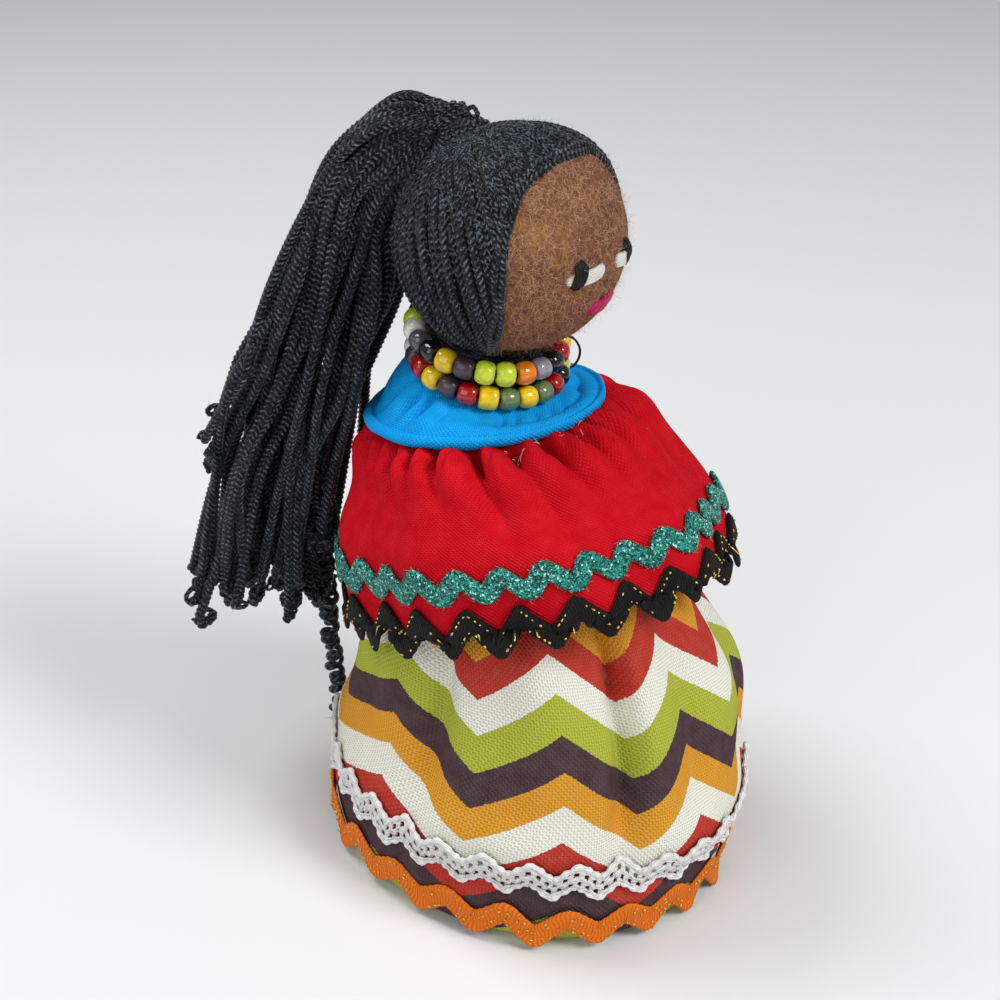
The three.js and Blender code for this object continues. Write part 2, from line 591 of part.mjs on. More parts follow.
// Necklaces: beads on a closed thread, lying in a plane that rises toward the nape.
const BEAD_FACE = BEAD_RADIUS * 0.78; // radius of a bead's flat ends
const BEAD_LENGTH = 2 * (NECKLACE_RADIUS - BEAD_FACE) * Math.tan(Math.PI / BEADS) - BEAD_SPACING;
const beadColors = {
  white: 0xeceae6, smoke: 0x55555a, black: 0x151518, purple: 0x3a2c3a, lilac: 0xb8a8c0,
  yellow: 0xd8b81a, lime: 0xb4d23a, green: 0x4a8a4a, orange: 0xe08a1c, red: 0xa8181c,
};
const upperBeads = [
  "white", "smoke", "black", "yellow", "purple", "lime", "lime", "orange", "lilac",
  "black", "red", "yellow", "green", "white", "red", "lime", "purple",
];
const lowerBeads = [
  "red", "yellow", "purple", "red", "yellow", "green", "yellow", "green", "red",
  "black", "lime", "orange", "white", "purple", "yellow", "red", "smoke",
];

function beadGeometry(bore) {
  const half = BEAD_LENGTH / 2;
  const outline = [
    new THREE.Vector2(bore, -half),
    new THREE.Vector2(BEAD_FACE, -half),
    new THREE.Vector2(BEAD_RADIUS, 0),
    new THREE.Vector2(BEAD_FACE, half),
    new THREE.Vector2(bore, half),
  ];
  if (bore > 0) outline.push(outline[0].clone());
  return new THREE.LatheGeometry(outline, bore > 0 ? 7 : 6);
}

function necklace(label, height, turn, colors) {
  const ring = new THREE.Group();
  ring.name = `${label}_necklace`;
  ring.position.set(0, NECK_BACK, height);
  ring.rotation.x = Math.atan(NECKLACE_SLOPE);
  parts.add(ring);
  const spot = (angle) => new THREE.Vector3(
    NECKLACE_RADIUS * Math.sin(angle), -NECKLACE_RADIUS * Math.cos(angle), 0);
  const threadSections = around(BEADS * 2, (angle) => Array.from({ length: 4 }, (_, k) => {
    const turn = (k / 4) * 2 * Math.PI;
    const out = NECKLACE_RADIUS + (THREAD / 2) * Math.cos(turn);
    return new THREE.Vector3(out * Math.sin(angle), -out * Math.cos(angle), (-THREAD / 2) * Math.sin(turn));
  }));
  let thread = solid(skin(threadSections, true));
  for (let i = 0; i < BEADS; i++) {
    const number = i - (LOOSE_BEADS - 1) / 2 + turn;
    const angle = (number / BEADS) * 2 * Math.PI;
    if (i < LOOSE_BEADS) {
      const name = `${label}_bead_${String(i + 1).padStart(2, "0")}`;
      const bead = piece(ring, name, beadGeometry(THREAD / 2 + GAP), beadColors[colors[i]], 0.2);
      bead.rotation.z = angle - Math.PI / 2;
      bead.position.copy(spot(angle));
    } else {
      const bead = beadGeometry(0).rotateZ(angle - Math.PI / 2).translate(...spot(angle).toArray());
      thread = thread.add(solid(bead));
    }
  }
  piece(ring, `${label}_necklace_thread`, surfaceOf(thread), 0x15151a, 0.6);
}

necklace("upper", UPPER_STRAND_HEIGHT, UPPER_TURN, upperBeads);
necklace("lower", LOWER_STRAND_HEIGHT, LOWER_TURN, lowerBeads);

export default parts;
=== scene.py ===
"""Looks of a husk-fibre doll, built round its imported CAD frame. Metres, +Z up; the doll faces -Y."""
import json
import math
import random
from bisect import bisect_right

import bmesh
import bpy
from mathutils import Matrix, Vector, noise


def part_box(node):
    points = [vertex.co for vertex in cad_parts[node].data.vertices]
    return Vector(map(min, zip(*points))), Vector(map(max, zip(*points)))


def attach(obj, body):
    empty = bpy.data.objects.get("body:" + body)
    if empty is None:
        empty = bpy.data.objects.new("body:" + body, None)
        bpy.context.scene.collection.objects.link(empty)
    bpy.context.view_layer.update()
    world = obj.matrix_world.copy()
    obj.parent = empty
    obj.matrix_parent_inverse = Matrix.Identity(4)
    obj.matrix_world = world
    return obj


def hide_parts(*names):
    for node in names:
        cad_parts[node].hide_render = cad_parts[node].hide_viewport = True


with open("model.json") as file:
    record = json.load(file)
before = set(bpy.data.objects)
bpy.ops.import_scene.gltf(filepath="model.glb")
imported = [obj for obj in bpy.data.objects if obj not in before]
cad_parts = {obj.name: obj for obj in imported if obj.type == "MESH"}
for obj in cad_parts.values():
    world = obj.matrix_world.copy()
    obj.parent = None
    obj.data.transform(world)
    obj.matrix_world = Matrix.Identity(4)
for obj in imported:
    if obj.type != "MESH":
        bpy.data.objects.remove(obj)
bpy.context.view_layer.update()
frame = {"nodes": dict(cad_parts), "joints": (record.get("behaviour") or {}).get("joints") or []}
joints = {joint["name"]: joint for joint in frame["joints"]}

MM = 0.001
DEG = math.pi / 180
UP = Vector((0, 0, 1))
FRONT = Vector((0, -1, 0))
chance = random.Random(11)
noise.seed_set(1795797924)  # unset, noise_vector follows the clock and the curly strand changes each run

# Body that the clothes hang on: it bellies forward, then leans back to the seam under the yoke.
BASE_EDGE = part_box("base_disc")[1]
BASE_NARROW = BASE_EDGE.x / BASE_EDGE.y
BELLY_HEIGHT = 38 * MM
BELLY_FORWARD = 3 * MM
SEAM_HEIGHT = 92 * MM
SEAM_BACK = 11.5 * MM
NECK_BACK = joints["necklace_lower_turn"]["pos_m"][1]

# Outlines of the clothes from the lower edge up: radius and height.
SKIRT_EDGE = [(35.6, 0.2), (39.6, 0.35), (42.1, 4), (43, 18), (36.3, 48), (26, 74)]
TRIM_EDGE = [(43.8, 0.6), (42.7, 4.5), (43, 18), (36.3, 48), (26, 74)]  # the lowest braid hangs off the skirt
CAPE_EDGE = [(37.2, 60.6), (36.6, 68), (34.9, 76), (31.2, 83.7), (27.3, 89.4), (22.4, 91.9), (18.5, 92)]
YOKE_EDGE = [(20.6, 91.5), (21.8, 91.7), (22.4, 92.5), (22.2, 93.5), (21.4, 94.1), (20.8, 93.7), (20.2, 94.5),
             (18.6, 96.7), (15.4, 98.6), (11, 100.2)]
SEAM_TILT = (0.15, -0.03)  # rise toward the front and toward the left
HEM_TILT = (0.35, -0.06)
COLLAR_TILT = (-0.22, 0)
CLOTH = 0.55 * MM  # thickness

# Rick-rack: waves round the hem, half height of a wave, width, thickness, and height above its cloth's edge.
# Sharp points the waves, uneven varies them, and upright sets the two edges of the braid over each other.
TEAL = dict(waves=29, wave=1.6 * MM, width=3.9 * MM, thick=1.2 * MM, above=9.7 * MM,
            sharp=0.6, uneven=0.1, upright=0.35)
BLACK = dict(waves=24, wave=2.6 * MM, width=5.5 * MM, thick=1.2 * MM, above=0.4 * MM,
             sharp=0.95, uneven=0.14, upright=0.85)
WHITE = dict(waves=30, wave=1.5 * MM, width=5.5 * MM, thick=0.8 * MM, above=22.8 * MM,
             sharp=0.95, uneven=0.2, upright=0.8)
ORANGE = dict(waves=22, wave=1.9 * MM, width=5.9 * MM, thick=0.9 * MM, above=5.9 * MM,
              sharp=0.8, uneven=0.4, upright=0.6)

# Head and hair.
HEAD = Vector(joints["head_turn"]["pos_m"])
HEAD_RADIUS = (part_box("head_ball")[1].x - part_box("head_ball")[0].x) / 2
FACE_AXIS = Vector((0, -math.cos(4 * DEG), -math.sin(4 * DEG)))
NAPE_ANGLE = 29 * DEG
NAPE_AXIS = Vector((0, math.sin(17 * DEG), -math.cos(17 * DEG)))
FACE_UP = FACE_AXIS.cross(Vector((1, 0, 0))).normalized()
FACE_SIDE = FACE_AXIS.cross(FACE_UP)
HAIR_CORDS = 96
HAIR_RISE = 0.72 * MM  # middle of a hair cord over the head
HAIR_CENTRE = HEAD_RADIUS + HAIR_RISE
CROWN_AXIS = Vector((0.1, 0.42, 0.9)).normalized()
CROWN_DROP = 1.6 * MM  # flattening behind the crown
CROWN_SPREAD = 42  # degrees round the axis
CORD = 2 * MM  # diameter of one plaited cord
PLAIT_PITCH = 1.12 * MM
RINGS_PER_PITCH = 4
PLAIT_SLANT = 0.75  # pitches that an arm of the plait rises over a quarter turn
PLAIT_STEP = PLAIT_PITCH / RINGS_PER_PITCH
LOBES = 0.13  # height of a plait's bumps, as a share of the cord's radius

# Ponytail: inner and outer edge behind the root and above it, with the half width, from the tie down.
ROOT = Vector(joints["ponytail_swing"]["pos_m"])
ROOT_AXIS = (ROOT - HEAD).normalized()
TAIL_ACROSS = Vector(joints["ponytail_lift"]["axis"])
TAIL_OUT = UP.cross(TAIL_ACROSS)
TAIL_EDGES = [
    ((3.6, 2.4), (3, 4.6), 4.4),
    ((5.2, -2.2), (8.9, 5.8), 7.2),
    ((8.2, -8), (16, 1.2), 8.6),
    ((11.2, -15), (22.2, -8.6), 9.4),
    ((12, -29), (31.2, -29), 10.6),
    ((17.8, -48), (39.6, -48), 11.8),
    ((24.6, -68), (46, -68), 13),
    ((26, -99), (54, -100), 13.8),
]
TAIL_DROOP = (4.5, 4, 2, 0.8, 0, 0, 0, 0)  # how far the outermost cords sag at each of these
TAIL_ROWS = 14
TAIL_LAYERS = 5
TAIL_NECK = 2.2 * MM  # half width in the tie
TIE_RISE = 2.2 * MM
TIE_RADIUS = 3.1 * MM
TIE_TURNS = 4
TIE_PITCH = 0.7 * MM
TURN_STEPS = 26  # points in one turn of the winding

# Necklaces.
NECK_AXIS = Vector(joints["necklace_upper_turn"]["axis"]).normalized()
STRANDS = {
    "upper": Vector(joints["necklace_upper_turn"]["pos_m"]),
    "lower": Vector(joints["necklace_lower_turn"]["pos_m"]),
}
NECKLACE_RADIUS = 13.4 * MM
BEADS = 23
LOOSE_BEADS = 17
BEAD_RADIUS = 2.08 * MM
BEAD_HALF = 1.78 * MM  # half its length along the thread
BEAD_BORE = 0.55 * MM
BEAD_MOUTH = 0.8 * MM  # radius where the bore opens
THREAD = 0.5 * MM
UPPER_BEADS = """white smoke black yellow purple lime lime orange lilac black red yellow green white red lime
    purple yellow smoke red white black lime""".split()
LOWER_BEADS = """red yellow purple red yellow green yellow green red black lime orange white purple yellow red
    smoke lime black yellow red white purple""".split()


def ease(value, low, high):
    share = min(max((value - low) / (high - low), 0), 1)
    return share * share * (3 - 2 * share)


def between(a, b, share):
    return a + (b - a) * share


def bump(value, centre, width):
    return math.exp(-((value - centre) / width) ** 2)


class Line:
    """A smooth line through points that can be walked by distance."""

    def __init__(self, points, steps=14):
        points = [Vector(p) for p in points]
        ends = [points[0] * 2 - points[1], *points, points[-1] * 2 - points[-2]]
        self.points = []
        for a, b, c, d in zip(ends, ends[1:], ends[2:], ends[3:]):
            for i in range(steps):
                t = i / steps
                self.points.append((b * 2 + (c - a) * t + (a * 2 - b * 5 + c * 4 - d) * t * t
                                    + (b * 3 - a - c * 3 + d) * t ** 3) / 2)
        self.points.append(points[-1])
        self.marks = [0]
        for p, q in zip(self.points, self.points[1:]):
            self.marks.append(self.marks[-1] + (q - p).length)
        self.length = self.marks[-1]

    def at(self, run):
        i = min(max(bisect_right(self.marks, run) - 1, 0), len(self.points) - 2)
        share = (run - self.marks[i]) / max(self.marks[i + 1] - self.marks[i], 1e-9)
        return between(self.points[i], self.points[i + 1], share)

    def spaced(self, step):
        count = max(int(self.length / step), 4)
        return [self.at(self.length * i / count) for i in range(count + 1)]


def spine_back(height):
    if height < BELLY_HEIGHT:
        return -BELLY_FORWARD * ease(height, 0, BELLY_HEIGHT)
    if height > SEAM_HEIGHT:
        return between(SEAM_BACK, NECK_BACK, ease(height, SEAM_HEIGHT, SEAM_HEIGHT + 4 * MM))
    share = (height - BELLY_HEIGHT) / (SEAM_HEIGHT - BELLY_HEIGHT)
    return (SEAM_BACK + BELLY_FORWARD) * share ** 2 - BELLY_FORWARD


def side_share(height):
    share = min(max((height - BELLY_HEIGHT) / (SEAM_HEIGHT - BELLY_HEIGHT), 0), 1)
    return between(BASE_NARROW, 1, share ** 2)


def body_point(angle, radius, height, tilt=(0, 0)):
    """A point round the body: angle 0 is the front, and it grows toward the left."""
    forward, aside = radius * math.cos(angle), radius * math.sin(angle)
    rise = height + tilt[0] * forward + tilt[1] * aside
    return Vector((aside * side_share(height), spine_back(height) - forward, rise))


class Cloth:
    """A cloth hung round the body: an outline carried round it, tilted and folded."""

    def __init__(self, edge, tilt, fold):
        self.outline = Line([(radius * MM, height * MM) for radius, height in edge])
        self.length = self.outline.length
        self.tilt = tilt
        self.fold = fold

    def place(self, angle, run):
        radius, height = self.outline.at(run)
        share = run / self.length
        back = self.outline.at(max(run - 0.4 * MM, 0))
        ahead = self.outline.at(min(run + 0.4 * MM, self.length))
        away = Vector((ahead[1] - back[1], back[0] - ahead[0])).normalized() * self.fold(angle, share)
        return body_point(angle, radius + away.x, height + away.y, self.tilt(share))

    def lifted(self, angle, run, lift):
        step = 0.3 * MM
        up = self.place(angle, run + step) - self.place(angle, run - step)
        along = self.place(angle + 0.01, run) - self.place(angle - 0.01, run)
        return self.place(angle, run) + along.cross(up).normalized() * lift


def turn_apart(a, b):
    """The angle from b to a, the short way round."""
    return (a - b + math.pi) % (2 * math.pi) - math.pi


def gathers(count, near, seed):
    """Tucks round a seam: angle and width in degrees, depth, and how far down it reaches. Some are given."""
    pick = random.Random(seed)
    tucks = [tuple(t) for t in near]
    for i in range(count):
        angle = (i + pick.uniform(0.2, 0.8)) / count * 2 * math.pi - math.pi
        if all(abs(turn_apart(angle, t[0] * DEG)) > 10 * DEG for t in near):
            tucks.append((angle / DEG, pick.uniform(2.6, 4.4), pick.uniform(2, 4), pick.uniform(0.4, 0.85)))
    return tucks


# Tucks: angle and width in degrees, depth in millimetres, and how far down each reaches.
SKIRT_TUCKS = [
    (-34, 5, 6, 0.84), (-10, 8, 1.8, 0.6), (-60, 13, -1.6, 0.72), (-94, 6, 3.4, 0.82), (-128, 9, 2, 0.62),
    (22, 9, 2, 0.62), (60, 8, 2.6, 0.7), (98, 9, 1.8, 0.62), (138, 8, 2.6, 0.74), (174, 9, 1.8, 0.62),
]
CAPE_TUCKS = gathers(26, [
    (-90, 2.4, 2.6, 0.5), (-78, 2.6, 3.8, 0.5), (-60, 3, 5.6, 0.7), (-43, 4.4, 4.2, 1.0),
    (-27, 2.8, 5.6, 0.6), (-12, 3, 3.6, 0.7), (1, 2.8, 3.6, 0.6),
], 3)


def skirt_lean(angle, height):
    """The skirt bellies out over the front left and is drawn in below it."""
    toward = max(math.cos(angle - 37 * DEG), 0) ** 2
    belly = 1.7 * MM * bump(height, 42 * MM, 15 * MM)
    drawn = 2.8 * MM * (1 - ease(height, 3 * MM, 27 * MM))
    return toward * (belly - drawn)


def around(angle, size, rise):
    """A smooth random value round the body, from -1 to 1, that meets itself at the back."""
    return noise.noise((size * math.cos(angle), size * math.sin(angle), rise))


def skirt_fold(angle, share):
    fade = ease(share, 0.2, 0.52) * (1 - ease(share, 0.74, 0.98))
    depth = 0
    for a, w, d, reach in SKIRT_TUCKS:
        crease = bump(turn_apart(angle, a * DEG + 0.16 * (share - 0.5)), 0, w * DEG * (1.5 - share))
        depth += d * MM * crease * ease(share, 0.86 - reach, 1.12 - reach)
    slack = 0.5 * MM * math.sin(5 * angle + 9 * share) * ease(share, 0.12, 0.3)
    lump = 1.5 * MM * around(angle, 2.4, 4 * share) * ease(share, 0.1, 0.3)
    seam = 0.6 * MM * bump(abs(angle), math.pi, 1.4 * DEG) * ease(share, 0.1, 0.2)
    swag = 1 + around(angle, 3, 9)
    band = 0.9 * MM * swag * (bump(share, 0.35, 0.06) - bump(share, 0.255, 0.03))
    lean = skirt_lean(angle, share * skirt_cloth.length - 4.6 * MM)
    return (slack + lump - depth) * fade + band - seam + lean


def cape_fold(angle, share):
    top = 1 - share
    depth = 0
    for a, w, d, reach in CAPE_TUCKS:
        spread = w * DEG * (0.6 + 3.2 * top)
        fade = (1 - ease(top, 0.13, reach)) * ease(top, -0.01, 0.06)
        apart = abs(turn_apart(angle, a * DEG + 0.14 * top)) / spread
        depth += 1.2 * d * MM * math.exp(-apart ** 1.2) * fade
    swing = 0.9 * MM * math.cos(9 * angle + 0.7) * (1 - ease(share, 0.1, 0.75))
    puff = 2.3 * MM * bump(top, 0.27, 0.14)
    ripple = abs(math.sin(26 * (angle + 0.1 * math.sin(5 * angle) + 0.5 * top))) - 0.6
    puff += 0.8 * MM * ripple * ease(top, 0.05, 0.12) * (1 - ease(top, 0.15, 0.36))
    slope = 3.4 * MM * ease(math.cos(angle + 143 * DEG), 0.1, 1) * bump(top, 0.3, 0.2)
    return swing + puff - slope - depth


# Creases of the yoke: angle and width in degrees, and depth in millimetres.
YOKE_CREASES = [
    (-126, 4, 2.4), (-108, 3.4, 2.6), (-97, 2.6, 2.8), (-82, 4, 1.2), (-60, 5, 0.8), (-45, 3, 2.2),
    (-36, 2.6, 1.8), (-20, 3, 2.6), (-6, 3, 2.4), (8, 3.4, 2.4), (38, 5, 1.6), (80, 5, 1.4), (120, 5, 1.5),
    (165, 6, 1.4),
]


def yoke_fold(angle, share):
    crease = 0
    for a, w, depth in YOKE_CREASES:
        apart = abs(turn_apart(angle, a * DEG + 0.25 * (share - 0.6))) / (w * DEG)
        crease += depth * MM * math.exp(-apart ** 1.3)
    rim = 0.35 * MM * around(angle, 4, 3 * share) * (1 - ease(share, 0.2, 0.4))
    dish = 1.7 * MM * bump(share, 0.52, 0.13) * ease(math.cos(angle - 25 * DEG), 0.0, 0.9)
    return rim - crease * bump(share, 0.6, 0.19) - dish


def trim_fold(angle, share):
    return 0.4 * MM * math.sin(5 * angle) + skirt_lean(angle, share * trim_cloth.length)


def no_tilt(share):
    return (0, 0)


def cape_tilt(share):
    return tuple(between(a, b, share) for a, b in zip(HEM_TILT, SEAM_TILT))


def yoke_tilt(share):
    return tuple(between(a, b, ease(share, 0.3, 0.92)) for a, b in zip(SEAM_TILT, COLLAR_TILT))


skirt_cloth = Cloth(SKIRT_EDGE, no_tilt, skirt_fold)
cape_cloth = Cloth(CAPE_EDGE, cape_tilt, cape_fold)
trim_cloth = Cloth(TRIM_EDGE, no_tilt, trim_fold)
yoke_cloth = Cloth(YOKE_EDGE, yoke_tilt, yoke_fold)


# Shader nodes.
def paint(red, green, blue):
    """A colour as it looks, 0 to 255, in the shader's own values."""
    def linear(value):
        value /= 255
        return value / 12.92 if value <= 0.04045 else ((value + 0.055) / 1.055) ** 2.4
    return (linear(red), linear(green), linear(blue), 1)


def darker(colour, share):
    return tuple(c * share for c in colour[:3]) + (1,)


class Nodes:
    """Adds nodes to a shader tree; a value may be a number, a colour or another node's output."""

    def __init__(self, tree):
        self.tree = tree

    def add(self, kind, values=(), **settings):
        node = self.tree.nodes.new("ShaderNode" + kind)
        for name, setting in settings.items():
            setattr(node, name, setting)
        for name, value in dict(values).items():
            self.put(node.inputs[name], value)
        return node

    def put(self, socket, value):
        if isinstance(value, bpy.types.NodeSocket):
            self.tree.links.new(value, socket)
        else:
            socket.default_value = value

    def math(self, operation, first, second=0.0):
        return self.add("Math", {0: first, 1: second}, operation=operation).outputs[0]

    def grow(self, value, factor, start):
        return self.add("Math", {0: value, 1: factor, 2: start}, operation="MULTIPLY_ADD").outputs[0]

    def mix(self, share, first, second):
        node = self.add("Mix", data_type="RGBA")
        self.put(node.inputs["Factor"], share)
        self.put(node.inputs["A"], first)
        self.put(node.inputs["B"], second)
        return node.outputs["Result"]

    def noise(self, vector, scale, detail=2.0):
        return self.add("TexNoise", {"Vector": vector, "Scale": scale, "Detail": detail}).outputs[0]

    def ramp(self, value, stops, interpolation="LINEAR"):
        node = self.add("ValToRGB", {0: value})
        band = node.color_ramp
        band.interpolation = interpolation
        while len(band.elements) < len(stops):
            band.elements.new(0.5)
        for element, (place, colour) in zip(band.elements, sorted(stops)):
            element.position = place
            element.color = colour
        return node.outputs[0]

    def fade(self, value, low, high):
        return self.ramp(value, [(low, (0, 0, 0, 1)), (high, (1, 1, 1, 1))])

    def group(self, name, values):
        node = self.tree.nodes.new("ShaderNodeGroup")
        node.node_tree = bpy.data.node_groups[name]
        for label, value in values.items():
            self.put(node.inputs[label], value)
        return node.outputs


def shader_group(name, inputs, outputs):
    """A new shader node group, with its nodes, its input sockets and a dictionary for its results."""
    group = bpy.data.node_groups.new(name, "ShaderNodeTree")
    for label, kind, value in inputs:
        socket = group.interface.new_socket(label, in_out="INPUT", socket_type="NodeSocket" + kind)
        if value is not None:
            socket.default_value = value
    for label, kind in outputs:
        group.interface.new_socket(label, in_out="OUTPUT", socket_type="NodeSocket" + kind)
    return Nodes(group), group.nodes.new("NodeGroupInput").outputs, group.nodes.new("NodeGroupOutput").inputs


def make_weave_group():
    """Plain weave on metres of cloth: threads over and under each other, with uneven yarn."""
    n, given, result = shader_group(
        "plain_weave", [("Vector", "Vector", None), ("Pitch", "Float", 0.5 * MM)],
        [("Height", "Float"), ("Gap", "Float")])
    wander = n.add("TexNoise", {"Vector": given["Vector"], "Scale": 420.0, "Detail": 1.0}).outputs["Color"]
    moved = n.add("VectorMath", {0: wander, 1: (0.35 * MM,) * 3}, operation="MULTIPLY").outputs[0]
    place = n.add("VectorMath", {0: given["Vector"], 1: moved}, operation="ADD").outputs[0]
    split = n.add("SeparateXYZ", {0: place}).outputs
    waves = []
    for axis in "XY":
        turns = n.math("DIVIDE", split[axis], given["Pitch"])
        waves.append(n.math("SINE", n.math("MULTIPLY", turns, math.pi)))
    over = n.math("MULTIPLY", *waves)
    n.put(result["Height"], n.grow(over, 0.5, 0.5))
    hollow = n.math("SUBTRACT", 1.0, n.math("MAXIMUM", *[n.math("ABSOLUTE", w) for w in waves]))
    n.put(result["Gap"], hollow)


def make_fibre_group():
    """Fuzzy fibre: fine streaks that wander, with broad patches of lighter fibre."""
    n, given, result = shader_group(
        "fuzzy_fibre", [("Vector", "Vector", None), ("Fineness", "Float", 900.0)],
        [("Streak", "Float"), ("Patch", "Float"), ("Height", "Float")])
    broad = n.noise(given["Vector"], n.math("MULTIPLY", given["Fineness"], 0.16), 2.0)
    bend = n.add("TexNoise", {"Vector": given["Vector"], "Scale": n.math("MULTIPLY", given["Fineness"], 0.4),
                              "Detail": 1.0}).outputs["Color"]
    pushed = n.add("VectorMath", {0: bend, 1: (3 * MM,) * 3}, operation="MULTIPLY").outputs[0]
    place = n.add("VectorMath", {0: given["Vector"], 1: pushed}, operation="ADD").outputs[0]
    long = n.add("VectorMath", {0: place, 1: (1.0, 1.0, 0.35)}, operation="MULTIPLY").outputs[0]
    streak = n.noise(long, given["Fineness"], 3.0)
    fine = n.noise(place, n.math("MULTIPLY", given["Fineness"], 3.1), 2.0)
    n.put(result["Streak"], n.fade(streak, 0.36, 0.64))
    n.put(result["Patch"], n.fade(broad, 0.4, 0.68))
    n.put(result["Height"], n.math("ADD", n.math("MULTIPLY", streak, 0.6), n.math("MULTIPLY", fine, 0.4)))


def make_plait_group():
    """Plaited yarn on a cord's own map, once round by plaits along: fibrous arms that slant to a spine."""
    n, given, result = shader_group(
        "plaited_yarn", [("Vector", "Vector", None)], [("Height", "Float"), ("Arm", "Float")])
    split = n.add("SeparateXYZ", {0: given["Vector"]}).outputs
    slant = n.math("PINGPONG", n.math("MULTIPLY", split["X"], 4.0), 1.0)
    along = n.math("ADD", split["Y"], n.math("MULTIPLY", slant, PLAIT_SLANT))
    arm = n.math("COSINE", n.math("MULTIPLY", along, 2 * math.pi))
    spine = n.ramp(n.math("PINGPONG", slant, 0.5), [(0.0, (0.2, 0.2, 0.2, 1)), (0.16, (1, 1, 1, 1))])
    round_arm = n.math("MULTIPLY", n.math("ADD", arm, 1.0), spine)
    across = n.math("SUBTRACT", n.math("MULTIPLY", slant, 7.0), n.math("MULTIPLY", split["Y"], 3.0))
    fibres = n.math("SINE", n.math("MULTIPLY", across, 2 * math.pi))
    n.put(result["Height"], n.math("ADD", round_arm, n.math("MULTIPLY", fibres, 0.16)))
    n.put(result["Arm"], n.fade(n.math("MULTIPLY", round_arm, 0.5), 0.25, 0.8))


make_weave_group()
make_fibre_group()
make_plait_group()


def new_material(name, colour, roughness, **sockets):
    """A material whose Principled shader holds these values; returns it with its nodes and shader."""
    material = bpy.data.materials.new(name)
    material.use_nodes = True
    shader = material.node_tree.nodes["Principled BSDF"]
    n = Nodes(material.node_tree)
    n.put(shader.inputs["Base Color"], colour)
    shader.inputs["Roughness"].default_value = roughness
    for label, value in sockets.items():
        shader.inputs[label.replace("_", " ")].default_value = value
    return material, n, shader


def raise_surface(n, shader, height, depth, strength=1.0):
    lump = n.add("Bump", {"Height": height, "Distance": depth, "Strength": strength})
    n.put(shader.inputs["Normal"], lump.outputs[0])


def coords(n, label):
    return n.add("TexCoord").outputs[label]


def cotton(name, colour, pitch, shade):
    """Woven cotton: painted shade between the threads, with slight wear and a soft sheen."""
    material, n, shader = new_material(name, colour, 0.88, Specular_IOR_Level=0.06)
    cloth = coords(n, "UV")
    weave = n.group("plain_weave", {"Vector": cloth, "Pitch": pitch})
    wear = n.noise(cloth, 260.0, 3.0)
    light = tuple(min(c * 1.12 + 0.006, 1) for c in colour[:3]) + (1,)
    worn = n.mix(n.fade(wear, 0.35, 0.7), colour, light)
    # painted shade: the colour is darker in the gaps between the threads
    n.put(shader.inputs["Base Color"], n.mix(weave["Gap"], worn, darker(colour, shade)))
    raise_surface(n, shader, weave["Height"], 0.2 * MM, 0.75)
    return material


# The skirt's print: zig-zags of this width and height, in bands that start at these heights in millimetres.
PRINT_PERIOD = 34 * MM
PRINT_WAVE = 11 * MM
PRINT_REACH = 80 * MM
PRINT_TURN = 48  # degrees round the skirt that one zig-zag takes
PRINT_START = 53  # degrees to the right of the front
PRINT_CROWD = 0.4  # zig-zags that are crowded toward the front left
CROWD_START = 56  # degrees to the right of the front
MUSTARD, RUST, CREAM = paint(222, 152, 20), paint(190, 38, 20), paint(236, 236, 222)
OLIVE, PLUM = paint(174, 182, 48), paint(64, 34, 46)
PRINT_BANDS = [
    (0, OLIVE), (2.5, PLUM), (13.5, RUST), (20.5, CREAM), (28, MUSTARD), (35, PLUM), (42, OLIVE),
    (49.5, CREAM), (56.5, RUST), (63.5, MUSTARD), (71, CREAM),
]


def printed_cotton():
    """Coarse plain-weave cotton printed with zig-zag bands, with painted shade between the threads."""
    material, n, shader = new_material("zigzag_cotton", CREAM, 0.92, Specular_IOR_Level=0.08)
    cloth = coords(n, "UV")
    weave = n.group("plain_weave", {"Vector": cloth, "Pitch": 0.58 * MM})
    ragged = n.math("MULTIPLY", n.math("SUBTRACT", n.noise(cloth, 2000.0, 1.0), 0.5), 0.7 * MM)
    split = n.add("SeparateXYZ", {0: cloth}).outputs
    cycle = n.math("FRACT", n.math("DIVIDE", split["X"], PRINT_PERIOD))
    peak = n.math("MULTIPLY", n.math("ABSOLUTE", n.math("SUBTRACT", cycle, 0.5)), 2 * PRINT_WAVE)
    level = n.math("ADD", n.math("SUBTRACT", split["Y"], peak), ragged)
    bands = [(place * MM / PRINT_REACH, colour) for place, colour in PRINT_BANDS]
    ink = n.ramp(n.math("DIVIDE", level, PRINT_REACH), bands, "CONSTANT")
    faded = n.mix(n.math("MULTIPLY", n.noise(cloth, 330.0, 3.0), 0.08), ink, CREAM)
    # painted shade: the print is darker in the gaps between the threads
    shade = n.mix(n.math("MULTIPLY", weave["Gap"], 0.6), faded, paint(40, 26, 20))
    n.put(shader.inputs["Base Color"], shade)
    raise_surface(n, shader, weave["Height"], 0.22 * MM, 0.8)
    return material


FELT_PATCH = HEAD + Vector((-0.66, -0.63, 0.41)) * HEAD_RADIUS


